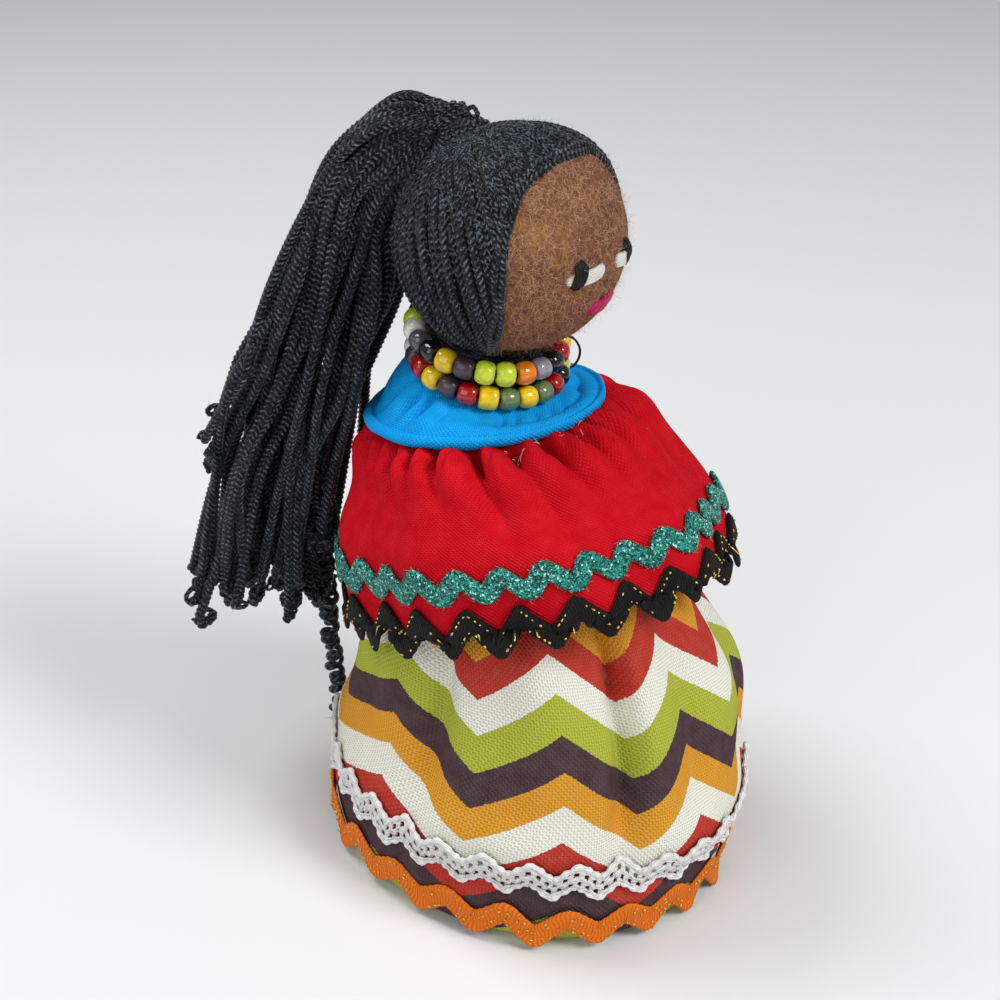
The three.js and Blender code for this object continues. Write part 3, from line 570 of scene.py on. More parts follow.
def felt():
    """Brown felted fibre with curling streaks, golden in patches and at one temple."""
    material, n, shader = new_material("brown_felt", paint(134, 90, 68), 0.95, Specular_IOR_Level=0.1)
    place = coords(n, "Object")
    fibre = n.group("fuzzy_fibre", {"Vector": place, "Fineness": 1250.0})
    apart = n.add("VectorMath", {0: place, 1: FELT_PATCH}, operation="DISTANCE").outputs["Value"]
    temple = n.ramp(n.math("DIVIDE", apart, 9 * MM), [(0.2, (0.7, 0.7, 0.7, 1)), (1.0, (0, 0, 0, 1))])
    gold = n.math("ADD", n.math("MULTIPLY", fibre["Patch"], 0.45), temple)
    patch = n.mix(gold, paint(134, 88, 68), paint(180, 132, 76))
    n.put(shader.inputs["Base Color"], n.mix(fibre["Streak"], n.mix(0.6, patch, paint(82, 46, 37)), patch))
    raise_surface(n, shader, fibre["Height"], 1.2 * MM, 0.9)
    return material


def loose_fibre(name, first, second):
    """Fine loose fibres, each a little lighter or darker."""
    material, n, shader = new_material(name, first, 0.75, Specular_IOR_Level=0.2)
    n.put(shader.inputs["Base Color"], n.mix(n.noise(coords(n, "Object"), 1900.0, 2.0), first, second))
    return material


def hair_yarn():
    """Black plaited yarn with painted shade in the grooves between the arms of the plait and painted grey
    glints on the arms.
    """
    material, n, shader = new_material("black_yarn", paint(14, 15, 18), 0.42, Specular_IOR_Level=0.5,
                                       Specular_Tint=(0.84, 0.93, 1, 1))
    yarn = n.group("plaited_yarn", {"Vector": coords(n, "UV")})
    speckle_noise = n.noise(coords(n, "Object"), 2600.0, 3.0)
    broad = n.noise(coords(n, "Object"), 420.0, 2.0)
    bright = n.fade(n.math("ADD", speckle_noise, n.math("MULTIPLY", broad, 0.35)), 0.6, 0.84)
    # painted shade: the grooves between the plait's arms are darker than the arms
    shade = n.mix(yarn["Arm"], paint(1, 1, 2), paint(12, 14, 18))
    # painted glints: grey specks on the arms of the plait
    glint = n.math("MULTIPLY", bright, yarn["Arm"])
    n.put(shader.inputs["Base Color"], n.mix(glint, shade, paint(132, 142, 154)))
    n.put(shader.inputs["Roughness"], n.grow(speckle_noise, 0.26, 0.22))
    raise_surface(n, shader, yarn["Height"], 0.3 * MM, 1.0)
    return material


def thread(name, colour, roughness=0.55):
    """Stranded embroidery thread: fine lines along the stitch."""
    material, n, shader = new_material(name, colour, roughness, Specular_IOR_Level=0.3)
    split = n.add("SeparateXYZ", {0: coords(n, "UV")}).outputs
    slanted = n.math("ADD", n.math("MULTIPLY", split["X"], 44.0), n.math("MULTIPLY", split["Y"], 9.0))
    lines = n.math("SINE", slanted)
    grain = n.noise(coords(n, "Object"), 2600.0, 2.0)
    n.put(shader.inputs["Base Color"], n.mix(n.math("MULTIPLY", grain, 0.6), colour, darker(colour, 0.62)))
    raise_surface(n, shader, lines, 0.08 * MM, 0.8)
    return material


def metal_thread(name, dark, bright):
    """Flat metal thread that is wound round a core: bright and dull by turns, the bright turns a painted
    glint in its colour.
    """
    material, n, shader = new_material(name, bright, 0.3, Metallic=0.6)
    glint = n.noise(coords(n, "Object"), 3200.0, 2.0)
    # painted glints: the bright colour where the noise is high
    n.put(shader.inputs["Base Color"], n.ramp(glint, [(0.35, dark), (0.62, bright)]))
    n.put(shader.inputs["Roughness"], n.grow(glint, 0.4, 0.12))
    raise_surface(n, shader, glint, 0.2 * MM, 0.6)
    return material


def glitter_braid(name, dark, bright, painted_glint_colour):
    """Metallic braid: tiny facets that catch the light one by one, a few of them with a painted near-white
    glint in their colour.
    """
    material, n, shader = new_material(name, bright, 0.38)
    facets = n.add("TexVoronoi", {"Vector": coords(n, "Object"), "Scale": 3000.0})
    pick = n.add("SeparateXYZ", {0: facets.outputs["Color"]}).outputs
    # the last stop is a painted glint
    stops = [(0.0, dark), (0.34, dark), (0.6, bright), (0.86, bright), (0.97, painted_glint_colour)]
    n.put(shader.inputs["Base Color"], n.ramp(pick["X"], stops))
    n.put(shader.inputs["Metallic"], n.math("MULTIPLY", pick["Y"], 0.7))
    n.put(shader.inputs["Roughness"], n.grow(pick["Z"], 0.4, 0.2))
    raise_surface(n, shader, facets.outputs["Distance"], 0.4 * MM, 0.9)
    return material


RIB_PITCH = 0.75 * MM


def yarn_braid(name, colour, dark, rib):
    """Woven braid: slanted ribs of this height across the tape, with painted shade in the grooves between
    them.
    """
    material, n, shader = new_material(name, colour, 0.72, Specular_IOR_Level=0.2)
    split = n.add("SeparateXYZ", {0: coords(n, "UV")}).outputs
    side = n.math("PINGPONG", n.math("MULTIPLY", split["X"], 8.0), 1.0)
    along = n.math("MULTIPLY", split["Y"], 2 * math.pi / RIB_PITCH)
    ribs = n.math("SINE", n.math("ADD", along, n.math("MULTIPLY", side, 3.2)))
    grain = n.noise(coords(n, "Object"), 2600.0, 3.0)
    # painted shade: darker in the grooves between the ribs, unevenly by the grain
    low = n.math("MULTIPLY", n.math("SUBTRACT", 1.0, ribs), 0.4)
    n.put(shader.inputs["Base Color"], n.mix(n.math("MULTIPLY", low, grain), colour, dark))
    raise_surface(n, shader, n.math("ADD", ribs, n.math("MULTIPLY", grain, 1.5)), rib, 0.9)
    return material


# Glass of the beads: colour, roughness and how clear it is.
BEAD_GLASS = {
    "white": (paint(236, 234, 228), 0.18, 0.0), "smoke": (paint(126, 124, 130), 0.08, 0.6),
    "black": (paint(16, 16, 18), 0.1, 0.0), "purple": (paint(62, 46, 60), 0.5, 0.0),
    "lilac": (paint(196, 190, 204), 0.06, 0.5), "yellow": (paint(240, 202, 12), 0.12, 0.0),
    "lime": (paint(220, 240, 58), 0.14, 0.15), "green": (paint(146, 170, 112), 0.06, 0.5),
    "orange": (paint(232, 128, 14), 0.12, 0.0), "red": (paint(172, 14, 18), 0.12, 0.0),
}


def bead_glass(name):
    """Pressed glass, cloudy in streaks along the bead."""
    colour, roughness, clear = BEAD_GLASS[name]
    material, n, shader = new_material("glass_" + name, colour, roughness, Coat_Weight=0.5,
                                       Coat_Roughness=0.04, IOR=1.5, Transmission_Weight=clear)
    streak = n.fade(n.noise(coords(n, "Object"), 750.0, 2.0), 0.4, 0.7)
    n.put(shader.inputs["Base Color"], n.mix(streak, colour, darker(colour, 0.72)))
    return material


def card():
    """Stiff grey-brown card with flecks."""
    material, n, shader = new_material("stiff_card", paint(158, 128, 92), 0.92, Specular_IOR_Level=0.15)
    flecks = n.noise(coords(n, "Object"), 1100.0, 4.0)
    n.put(shader.inputs["Base Color"], n.mix(flecks, paint(132, 104, 72), paint(178, 150, 112)))
    raise_surface(n, shader, flecks, 0.2 * MM, 0.5)
    return material


def husk():
    """Coarse combed husk fibre."""
    material, n, shader = new_material("husk_fibre", paint(120, 86, 54), 0.95, Specular_IOR_Level=0.1)
    fibre = n.group("fuzzy_fibre", {"Vector": coords(n, "Object"), "Fineness": 600.0})
    n.put(shader.inputs["Base Color"], n.mix(fibre["Streak"], paint(84, 56, 34), paint(142, 104, 66)))
    raise_surface(n, shader, fibre["Height"], 0.9 * MM, 0.9)
    return material


red_cotton = cotton("red_cotton", paint(198, 12, 28), 0.44 * MM, 0.5)
blue_cotton = cotton("blue_cotton", paint(16, 160, 236), 0.4 * MM, 0.4)
print_cotton = printed_cotton()
brown_felt = felt()
black_yarn = hair_yarn()
white_stitch = thread("white_stitch", paint(238, 236, 230))
black_stitch = thread("black_stitch", paint(18, 18, 20))
lip_stitch = thread("lip_stitch", paint(192, 8, 92))
black_thread = thread("black_thread", paint(20, 20, 22))
gold_thread = metal_thread("gold_thread", paint(176, 124, 22), paint(250, 220, 104))
# the last colour is a painted glint
teal_braid = glitter_braid("teal_braid", paint(6, 74, 68), paint(40, 156, 142), paint(180, 250, 236))
black_braid = yarn_braid("black_braid", paint(22, 21, 23), paint(4, 4, 5), 0.16 * MM)
orange_braid = yarn_braid("orange_braid", paint(236, 120, 20), paint(156, 58, 6), 0.07 * MM)
white_cotton = thread("white_cotton", paint(248, 248, 247), 0.85)
husk_fibre = husk()
stiff_card = card()
brown_fibre = loose_fibre("brown_fibre", paint(116, 74, 57), paint(152, 104, 80))
gold_fibre = loose_fibre("gold_fibre", paint(172, 126, 94), paint(206, 164, 128))
dark_fibre = loose_fibre("dark_fibre", paint(84, 52, 40), paint(112, 74, 54))
hair_fibre = loose_fibre("hair_fibre", paint(10, 11, 13), paint(44, 46, 50))
# grey fibres that stand for painted glints on the hair
painted_glint_fibre = loose_fibre("painted_glint_fibre", paint(62, 70, 80), paint(134, 145, 158))
pale_thread = loose_fibre("pale_thread", paint(176, 120, 120), paint(214, 180, 176))
teal_fibre = loose_fibre("teal_fibre", paint(30, 120, 108), paint(96, 190, 176))


# Making pieces.
def new_piece(name, bm, material, body, replaced=()):
    """Turns a bmesh into a piece that rides on a body and may stand for CAD nodes."""
    mesh = bpy.data.meshes.new(name)
    bm.to_mesh(mesh)
    bm.free()
    mesh.shade_smooth()
    mesh.materials.append(material)
    piece = bpy.data.objects.new(name, mesh)
    bpy.context.scene.collection.objects.link(piece)
    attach(piece, body)
    if replaced:
        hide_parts(*replaced)
    return piece


def fresh_mesh():
    bm = bmesh.new()
    bm.loops.layers.uv.new("UVMap")
    return bm


def lay_grid(bm, across, along, place, map_size=None):
    """Lays a grid of faces over a surface: place(u, v) gives the point for two shares from 0 to 1."""
    first = len(bm.faces)
    made = bmesh.ops.create_grid(bm, x_segments=across, y_segments=along, size=0.5, calc_uvs=True)["verts"]
    if map_size:
        layer = bm.loops.layers.uv.active
        bm.faces.ensure_lookup_table()
        for face in bm.faces[first:]:
            for loop in face.loops:
                spot = loop.vert.co
                loop[layer].uv = map_size(spot.x + 0.5, spot.y + 0.5)
    for vert in made:
        vert.co = place(vert.co.x + 0.5, vert.co.y + 0.5)
    return made


def close_seams(bm, shell=True):
    bmesh.ops.remove_doubles(bm, verts=bm.verts, dist=2e-7)
    if shell:
        bmesh.ops.recalc_face_normals(bm, faces=bm.faces)


def sweep(bm, points, radius_at, sides, ring=False, lobes=0.0, phase=0.0):
    """Sweeps a round section along points: radius_at takes a share of the length, lobes are plait bumps."""
    count = len(points)
    tangents = []
    for i in range(count):
        ahead = points[(i + 1) % count if ring else min(i + 1, count - 1)]
        back = points[(i - 1) % count if ring else max(i - 1, 0)]
        tangents.append((ahead - back).normalized())
    wide = tangents[0].orthogonal().normalized()
    frames = []
    for i, tangent in enumerate(tangents):
        wide = (wide - tangent * wide.dot(tangent)).normalized()
        frames.append((points[i], wide.copy(), tangent.cross(wide), radius_at(i / (count - 1))))
    if ring:
        frames.append(frames[0])
    last = len(frames) - 1
    step = 2 * math.pi / RINGS_PER_PITCH

    def place(u, v):
        row = round(v * last)
        centre, wide, deep, radius = frames[row]
        angle = 2 * math.pi * round(u * sides) / sides
        if lobes:
            slant = 1 - abs((angle / (math.pi / 2)) % 2 - 1)
            radius *= 1 + lobes * math.cos(step * row + phase + 2 * math.pi * PLAIT_SLANT * slant)
        return centre + wide * (radius * math.cos(angle)) + deep * (radius * math.sin(angle))

    def plait_map(u, v):
        return (u, v * last / RINGS_PER_PITCH + phase / (2 * math.pi))

    return lay_grid(bm, sides, last, place, plait_map)


def blunt(start, end):
    """A radius that closes to nothing at both ends of a cord, over these shares of its length."""
    return lambda share: math.sqrt(max(min(share / start, 1) * min((1 - share) / end, 1), 0))


def scaled(shape, radius):
    return lambda share: radius * shape(share)


def scatter(pick, size):
    """A random direction and length."""
    return Vector([pick.gauss(0, size) for _ in range(3)])


def lay_fibre(bm, root, way, bend, width, steps):
    """One loose fibre: a thin ribbon that tapers and bends."""
    side = way.orthogonal().normalized() * width
    lay_grid(bm, 1, steps, lambda u, v: root + way * v + bend * v * v + side * (2 * u - 1) * (1.2 - v))


def thicken(piece, thickness):
    wall = piece.modifiers.new("thickness", "SOLIDIFY")
    wall.thickness = thickness
    wall.offset = -1


def hair_piece(name, bm, body, replaced=()):
    close_seams(bm)
    return new_piece(name, bm, black_yarn, body, replaced)


# Clothes.
def cloth_piece(name, cloth, columns, rows, map_size, material, replaced):
    bm = fresh_mesh()
    lay_grid(bm, columns, rows, lambda u, v: cloth.place((u - 0.5) * 2 * math.pi, v * cloth.length), map_size)
    close_seams(bm, shell=False)
    piece = new_piece(name, bm, material, "body", replaced)
    thicken(piece, CLOTH)
    return piece


def print_place(u, v):
    """Where a point of the skirt lies on the flat print; its zig-zags are narrower at the front left."""
    angle = (u - 0.5) * 360
    crowd = PRINT_CROWD * (1 - math.cos((angle + CROWD_START) * DEG))
    cycles = (angle + PRINT_START) / PRINT_TURN + crowd
    return (cycles * PRINT_PERIOD, v * skirt_cloth.length)


def straight_place(width, length):
    return lambda u, v: (u * width, v * length)


CAPE_WIDTH = 236 * MM
YOKE_WIDTH = 118 * MM
skirt = cloth_piece("skirt_cloth", skirt_cloth, 330, 96, print_place, print_cotton, ["skirt"])
cape = cloth_piece("cape_cloth", cape_cloth, 520, 72, straight_place(CAPE_WIDTH, cape_cloth.length),
                   red_cotton, ["cape"])
yoke = cloth_piece("yoke_cloth", yoke_cloth, 260, 72, straight_place(YOKE_WIDTH, yoke_cloth.length),
                   blue_cotton, ["yoke"])


# Rick-rack.
def braid_path(cloth, trim, shift=0.0):
    """The wavy middle line of a braid on its cloth; a shift moves it square to the line, across the tape."""
    sharp = trim["sharp"]
    full = math.asin(sharp)

    def wave(angle):
        size = 1 + trim["uneven"] * around(angle, 3.1, trim["waves"])
        stray = 0.8 * trim["uneven"] * around(angle, 5, 40)
        return trim["wave"] * (size * math.asin(sharp * math.cos(trim["waves"] * angle)) / full + stray)

    def at(angle):
        run = trim["above"] + wave(angle)
        slope = (wave(angle + 0.002) - wave(angle - 0.002)) / 0.004
        radius = cloth.outline.at(max(trim["above"], 0))[0]
        size = math.hypot(slope, radius)
        turned = shift * (1 - trim["upright"])
        return angle - turned * slope / size / radius, run + turned * radius / size + shift * trim["upright"]
    return at


def braid_length(cloth, trim):
    path = braid_path(cloth, trim)
    spots = [cloth.place(*path(2 * math.pi * i / 400)) for i in range(401)]
    return sum((b - a).length for a, b in zip(spots, spots[1:]))


BRAID_STEPS = 18  # rows of faces in one wave
BRAID_SIDES = 18  # faces round the tape


def braid_piece(name, cloth, trim, material, replaced):
    bm = fresh_mesh()
    steps = trim["waves"] * BRAID_STEPS
    length = braid_length(cloth, trim)

    def place(u, v):
        turn = 2 * math.pi * u
        loops = 1 + 0.035 * math.cos(math.pi * round(v * steps))
        off = trim["width"] / 2 * math.cos(turn) * loops
        ridges = 1 + 0.2 * math.cos(6 * math.pi * off / trim["width"])
        lift = trim["thick"] / 2 * (1 + math.copysign(abs(math.sin(turn)) ** 0.7, math.sin(turn)) * ridges)
        angle, run = braid_path(cloth, trim, off)(v * 2 * math.pi)
        return cloth.lifted(angle, run, 0.1 * MM + lift)

    lay_grid(bm, BRAID_SIDES, steps, place, lambda u, v: (u, v * length))
    close_seams(bm)
    return new_piece(name, bm, material, "body", replaced)


def braid_fuzz(name, cloth, trim, count, material):
    """Fibre ends that stand out along both edges of a braid."""
    bm = fresh_mesh()
    for _ in range(count):
        start = chance.uniform(0, 2 * math.pi)
        edge = chance.choice((-0.5, 0.5)) * trim["width"]
        root = cloth.lifted(*braid_path(cloth, trim, edge * 0.9)(start), 0.5 * MM)
        outer = braid_path(cloth, trim, edge * chance.uniform(1.05, 1.4))
        end = start + chance.uniform(-0.02, 0.02)
        tip = cloth.lifted(*outer(end), chance.uniform(0.2, 1.4) * MM)
        lay_fibre(bm, root, tip - root, Vector(), 0.04 * MM, 2)
    return new_piece(name, bm, material, "body", ())


def gold_flecks(name, cloth, trim, rows, share):
    """Metal thread that shows in short lengths along the arms of a braid."""
    bm = fresh_mesh()
    count = trim["waves"] * 12
    for row in rows:
        path = braid_path(cloth, trim, row * trim["width"])
        for i in range(count):
            start = (i + chance.uniform(0, 0.4)) / count * 2 * math.pi
            arm = abs(math.sin(trim["waves"] * start))
            if chance.random() < share * (0.35 + 0.65 * arm):
                reach = chance.uniform(0.35, 0.8) / count * 2 * math.pi
                high = trim["thick"] * (1.02 - 0.9 * row * row) + 0.14 * MM
                points = []
                for k in range(4):
                    arch = 0.1 * MM * math.sin(math.pi * k / 3)
                    points.append(cloth.lifted(*path(start + reach * k / 3), high + arch))
                sweep(bm, points, scaled(blunt(0.3, 0.3), chance.uniform(0.14, 0.22) * MM), 5)
    close_seams(bm)
    return new_piece(name, bm, gold_thread, "body", ())


CROCHET = 0.45 * MM  # thickness of the tape
CROCHET_STEPS = 20  # rows of faces in one wave
CROCHET_COLUMNS = 15  # faces across the tape
HOLE_COLUMNS = (3, 4, 5, 9, 10, 11)
CROCHET_CORDS = ((-0.5, 0.48), (-0.38, 0.26), (0, 0.36), (0.38, 0.26), (0.5, 0.48))  # share across, radius


def crochet_piece(name, cloth, trim, replaced):
    """Openwork braid: a thin crocheted tape with two rows of holes between its cord edges."""
    bm = fresh_mesh()
    steps = trim["waves"] * CROCHET_STEPS
    length = braid_length(cloth, trim)

    def place(u, v):
        angle, run = braid_path(cloth, trim, (u - 0.5) * trim["width"])(v * 2 * math.pi)
        return cloth.lifted(angle, run, trim["thick"] + 0.15 * MM * math.cos(10 * math.pi * u))

    lay_grid(bm, CROCHET_COLUMNS, steps, place, lambda u, v: (u * 3, v * length))
    bm.faces.ensure_lookup_table()
    holes = []
    for i, face in enumerate(bm.faces):
        step, column = divmod(i, CROCHET_COLUMNS)
        if column in HOLE_COLUMNS and (step + 2 * (column // 8)) % 4 < 2:
            holes.append(face)
    bmesh.ops.delete(bm, geom=holes, context="FACES")
    close_seams(bm, shell=False)
    tape = new_piece(name, bm, white_cotton, "body", replaced)
    thicken(tape, CROCHET)
    bm = fresh_mesh()
    high = trim["thick"] + 0.1 * MM
    for share, size in CROCHET_CORDS:
        path = braid_path(cloth, trim, share * trim["width"])
        points = [cloth.lifted(*path(2 * math.pi * i / steps), high) for i in range(steps)]

        def stitched(along):
            return size * MM * (1 + 0.35 * math.cos(along * steps * math.pi / 2))

        sweep(bm, points, stitched, 7, ring=True)
    close_seams(bm)
    return tape, new_piece(name + "_edges", bm, white_cotton, "body", ())


teal = braid_piece("teal_rickrack", cape_cloth, TEAL, teal_braid, ["cape_teal_rickrack"])
black = braid_piece("black_rickrack", cape_cloth, BLACK, black_braid, ["cape_black_rickrack"])
orange = braid_piece("orange_rickrack", trim_cloth, ORANGE, orange_braid, ["skirt_orange_rickrack"])
white, white_edges = crochet_piece("white_rickrack", skirt_cloth, WHITE, ["skirt_white_rickrack"])
black_gold = gold_flecks("black_rickrack_gold", cape_cloth, BLACK, (-0.3, 0.3), 0.6)
orange_gold = gold_flecks("orange_rickrack_gold", trim_cloth, ORANGE, (-0.36, -0.17, 0.17, 0.36), 0.5)
teal_fuzz = braid_fuzz("teal_rickrack_fuzz", cape_cloth, TEAL, 900, teal_fibre)


def seam_threads(count):
    """Ends of pale thread that show on the gathers, under the edge of the yoke."""
    bm = fresh_mesh()
    pick = random.Random(8)
    for _ in range(count):
        angle, run = pick.uniform(-46, -2) * DEG, cape_cloth.length * (1 - pick.uniform(0.09, 0.15))
        way, reach = pick.uniform(-0.06, 0.06), pick.uniform(-1.2, 0.4) * MM
        points = []
        for k in range(5):
            lift = (0.25 + 0.2 * math.sin(math.pi * k / 4)) * MM
            points.append(cape_cloth.lifted(angle + way * k / 4, run + reach * k / 4, lift))
        sweep(bm, points, scaled(blunt(0.2, 0.2), 0.08 * MM), 5)
    close_seams(bm)
    return new_piece("seam_threads", bm, pale_thread, "body", ())


loose_threads = seam_threads(14)


# Head.
def on_head(side, down, lift):
    """A point over the face: degrees to the doll's left and down from the front, and height over the felt."""
    a, b = side * DEG, down * DEG
    out = Vector((math.sin(a) * math.cos(b), -math.cos(a) * math.cos(b), -math.sin(b)))
    return HEAD + out * (HEAD_RADIUS + lift)


def uneven(direction, size, depth):
    return depth * noise.noise(direction * size)


def head_surface(out):
    """Radius of the head in a direction: it is flattened behind the crown, where the hair is gathered."""
    return HEAD_RADIUS - CROWN_DROP * bump(out.angle(CROWN_AXIS) / DEG, 0, CROWN_SPREAD)


def felt_head():
    """The stuffed head, a little uneven."""
    bm = fresh_mesh()
    bmesh.ops.create_icosphere(bm, subdivisions=6, radius=1)
    for vert in bm.verts:
        out = vert.co.normalized()
        vert.co = HEAD + out * (head_surface(out) + uneven(out, 2.2, 0.25 * MM) + uneven(out, 9, 0.12 * MM))
    head_ball = new_piece("felt_head", bm, brown_felt, "head", ["head_ball"])


def fibre_coat(name, count, covered, reach, width, rises, material, height=0.0, toward=None):
    """Loose fibres over the head, each a thin curling ribbon; they lie any way, or toward a direction."""
    bm = fresh_mesh()
    pick = random.Random(name)
    while count:
        out = scatter(pick, 1).normalized()
        if not covered(out):
            continue
        count -= 1
        radius = head_surface(out) + height
        along = out.orthogonal().normalized()
        along.rotate(Matrix.Rotation(pick.uniform(0, 2 * math.pi), 3, out))
        if toward:
            along = (toward - out * toward.dot(out) + along * 0.3).normalized()
        side = out.cross(along)
        length = pick.uniform(0.45, 1) * reach
        curl = pick.uniform(0.4, 2.6) * pick.choice((-1, 1))
        rise = pick.uniform(*rises) * length
        lift = pick.uniform(-0.05, 0.16) * MM

        def place(u, v):
            turn = curl * v
            flat = along * (math.sin(turn) / curl) + side * ((1 - math.cos(turn)) / curl)
            edge = side * math.cos(turn) - along * math.sin(turn)
            spot = out * radius + flat * length + out * (lift + rise * v * (1.5 - 0.8 * v))
            drop = radius - math.hypot(radius, (flat * length).length)
            return HEAD + spot + out * drop + edge * ((u - 0.5) * width * (1.1 - 0.8 * v))

        lay_grid(bm, 1, 4, place)
    return new_piece(name, bm, material, "head", ())


def hairline(turn):
    """Angle from the middle of the face to the hairline; turn 0 is the top, and it runs down each side."""
    down = abs(turn) / DEG
    return (58.7 + 4.2 * bump(down, 38, 30) + 24 * ease(down, 100, 175)) * DEG


def past_hairline(out):
    return out.angle(FACE_AXIS) - hairline(math.atan2(out.dot(FACE_SIDE), out.dot(FACE_UP)))


def on_face(out):
    return past_hairline(out) < 0


def under_nape(out):
    return out.angle(NAPE_AXIS) < NAPE_ANGLE


STITCH_SINK = 0.35 * MM  # ends of a stitch below the felt


def stitch_patch(name, stitches, radius, material, replaced):
    """Satin stitches laid side by side; each is given by its two ends on the face."""
    bm = fresh_mesh()
    for start, end, rise in stitches:
        points = []
        for i in range(9):
            share = i / 8
            arch = max(math.sin(math.pi * share), 0)
            lift = rise * math.sqrt(arch) - STITCH_SINK * (1 - arch)
            points.append(on_head(between(start[0], end[0], share), between(start[1], end[1], share), lift))
        sweep(bm, points, scaled(blunt(0.08, 0.08), radius), 8)
    close_seams(bm)
    return new_piece(name, bm, material, "head", replaced)


def eyes():
    """Each eye is a row of white stitches with black ones across it, in degrees over the face."""
    for label, sign, inner, outer in (("right", -1, 0.5, 29.5), ("left", 1, 5.5, 28)):
        whites = []
        for i in range(5):
            row = i - 2
            down = 3 + row * 1.3
            start, end = inner + 0.5 * row ** 2, outer - 0.8 * abs(row) ** 1.8
            whites.append(((sign * start, down - 0.4), (sign * end, down + 1.5), 0.42 * MM))
        name = label + "_eye_white"
        stitch_patch(name, whites, 0.4 * MM, white_stitch, [name])
        irises = []
        for i in range(4):
            side = 20.4 + (i - 1.5) * 1.75
            reach = 8.8 - 0.8 * abs(i - 1.5) ** 1.7
            irises.append(((sign * (side - 1.6), 1.6 - reach), (sign * (side + 1.6), 1.6 + reach), 0.8 * MM))
        name = label + "_eye_iris"
        stitch_patch(name, irises, 0.42 * MM, black_stitch, [name])


def mouth():
    """Lips of satin stitches, longest in the middle row, in degrees over the face."""
    lips = []
    for i in range(9):
        reach = 15.6 - 0.5 * abs(i - 4) ** 1.9
        down = 24.8 + (i - 4) * 1.7
        lips.append(((3 - reach, between(down, 26.4, 0.5)), (3 + reach, between(down, 21.8, 0.5)), 0.5 * MM))
    stitch_patch("lips", lips, 0.4 * MM, lip_stitch, ["mouth"])


# Fibres of the face: how many, length and width in millimetres, and their rise as a share of the length.
FACE_FIBRES = [
    ("brown_face_fibres", 5200, 2.3, 0.085, (0, 0.12), brown_fibre),
    ("gold_face_fibres", 4200, 2.2, 0.075, (0, 0.16), gold_fibre),
    ("dark_face_fibres", 2000, 2, 0.08, (0, 0.1), dark_fibre),
    ("stray_face_fibres", 900, 3.2, 0.05, (0.25, 1.1), gold_fibre),
]
felt_head()
for name, count, reach, width, rises, material in FACE_FIBRES:
    fibre_coat(name, count, on_face, reach * MM, width * MM, rises, material)
eyes()
mouth()


# Hair laid over the head: plaited cords from the root round to the nape, and two along the hairline.
HAIR_END = Vector((0, 0.1, -1)).normalized()
CROWN_BACK = (ROOT_AXIS + HAIR_END).normalized()
ARC_STEPS = 120


def hair_arc(turn):
    """A round arc over a ball from the root to the nape; turn 0 is down the back and grows leftward."""
    middle = CROWN_BACK * math.cos(turn) + Vector((math.sin(turn), 0, 0))
    upright = (middle - ROOT_AXIS).cross(HAIR_END - ROOT_AXIS).normalized()
    centre = upright * upright.dot(ROOT_AXIS)
    wide = ROOT_AXIS - centre
    deep = upright.cross(wide)

    def sweep_to(p):
        return math.atan2((p - centre).dot(deep), (p - centre).dot(wide)) % (2 * math.pi)

    end = sweep_to(HAIR_END)
    return lambda share: (centre + wide * math.cos(end * share) + deep * math.sin(end * share)).normalized()


def plaited_cord(bm, directions, radii, heights, phase):
    """A plaited cord over the head: directions from its middle, with the cord's radius and height at each."""
    line = [HEAD + d * h for d, h in zip(directions, heights)]
    marks = [0]
    for a, b in zip(line, line[1:]):
        marks.append(marks[-1] + (b - a).length)
    rings = max(round(marks[-1] / PLAIT_PITCH * RINGS_PER_PITCH), 8)

    def walk(values, run):
        i = min(max(bisect_right(marks, run) - 1, 0), len(marks) - 2)
        return between(values[i], values[i + 1], (run - marks[i]) / max(marks[i + 1] - marks[i], 1e-9))

    runs = [marks[-1] * i / rings for i in range(rings + 1)]
    close = blunt(0.8 * MM / marks[-1], 0.8 * MM / marks[-1])
    sweep(bm, [walk(line, r) for r in runs], lambda share: walk(radii, marks[-1] * share) * close(share), 8,
          lobes=LOBES, phase=phase)


def hidden(out, margin):
    return past_hairline(out) < margin or under_nape(out)


def head_cords():
    """Plaited cords from the root round to the nape, each cut off at the hairline."""
    bm = fresh_mesh()
    for i in range(HAIR_CORDS):
        turn = 2 * math.pi * (i + 0.5) / HAIR_CORDS - math.pi
        arc = hair_arc(turn)
        beside = hair_arc(turn + 2 * math.pi / HAIR_CORDS)
        wander, phase = chance.uniform(-0.7, 0.7), chance.uniform(0, 6.3)
        directions, radii, heights = [], [], []
        for k in range(ARC_STEPS + 1):
            share = between(0.03, 1, k / ARC_STEPS)
            out, apart = arc(share), beside(share) - arc(share)
            out = (out + apart * (wander * math.sin(9 * share + phase))).normalized()
            if share > 0.12 and hidden(out, 2.2 * DEG):
                break
            near = min(out.angle(ROOT_AXIS) / (14 * DEG), 1)
            directions.append(out)
            radii.append(min(max(0.57 * apart.length * HAIR_CENTRE, 0.5 * MM), 0.86 * MM))
            heights.append(head_surface(out) + HAIR_RISE + 0.4 * MM * math.sin(9 * share + 3 * phase) * near)
        if len(directions) > 6:
            plaited_cord(bm, directions, radii, heights, phase)
    hair_piece("hair_cords", bm, "head", ["hair_cap"])


# Cords round the face: degrees past the hairline, and degrees down each side.
FACE_CORDS = ((0.6, 156), (3.6, 150))
FACE_STEPS = 160


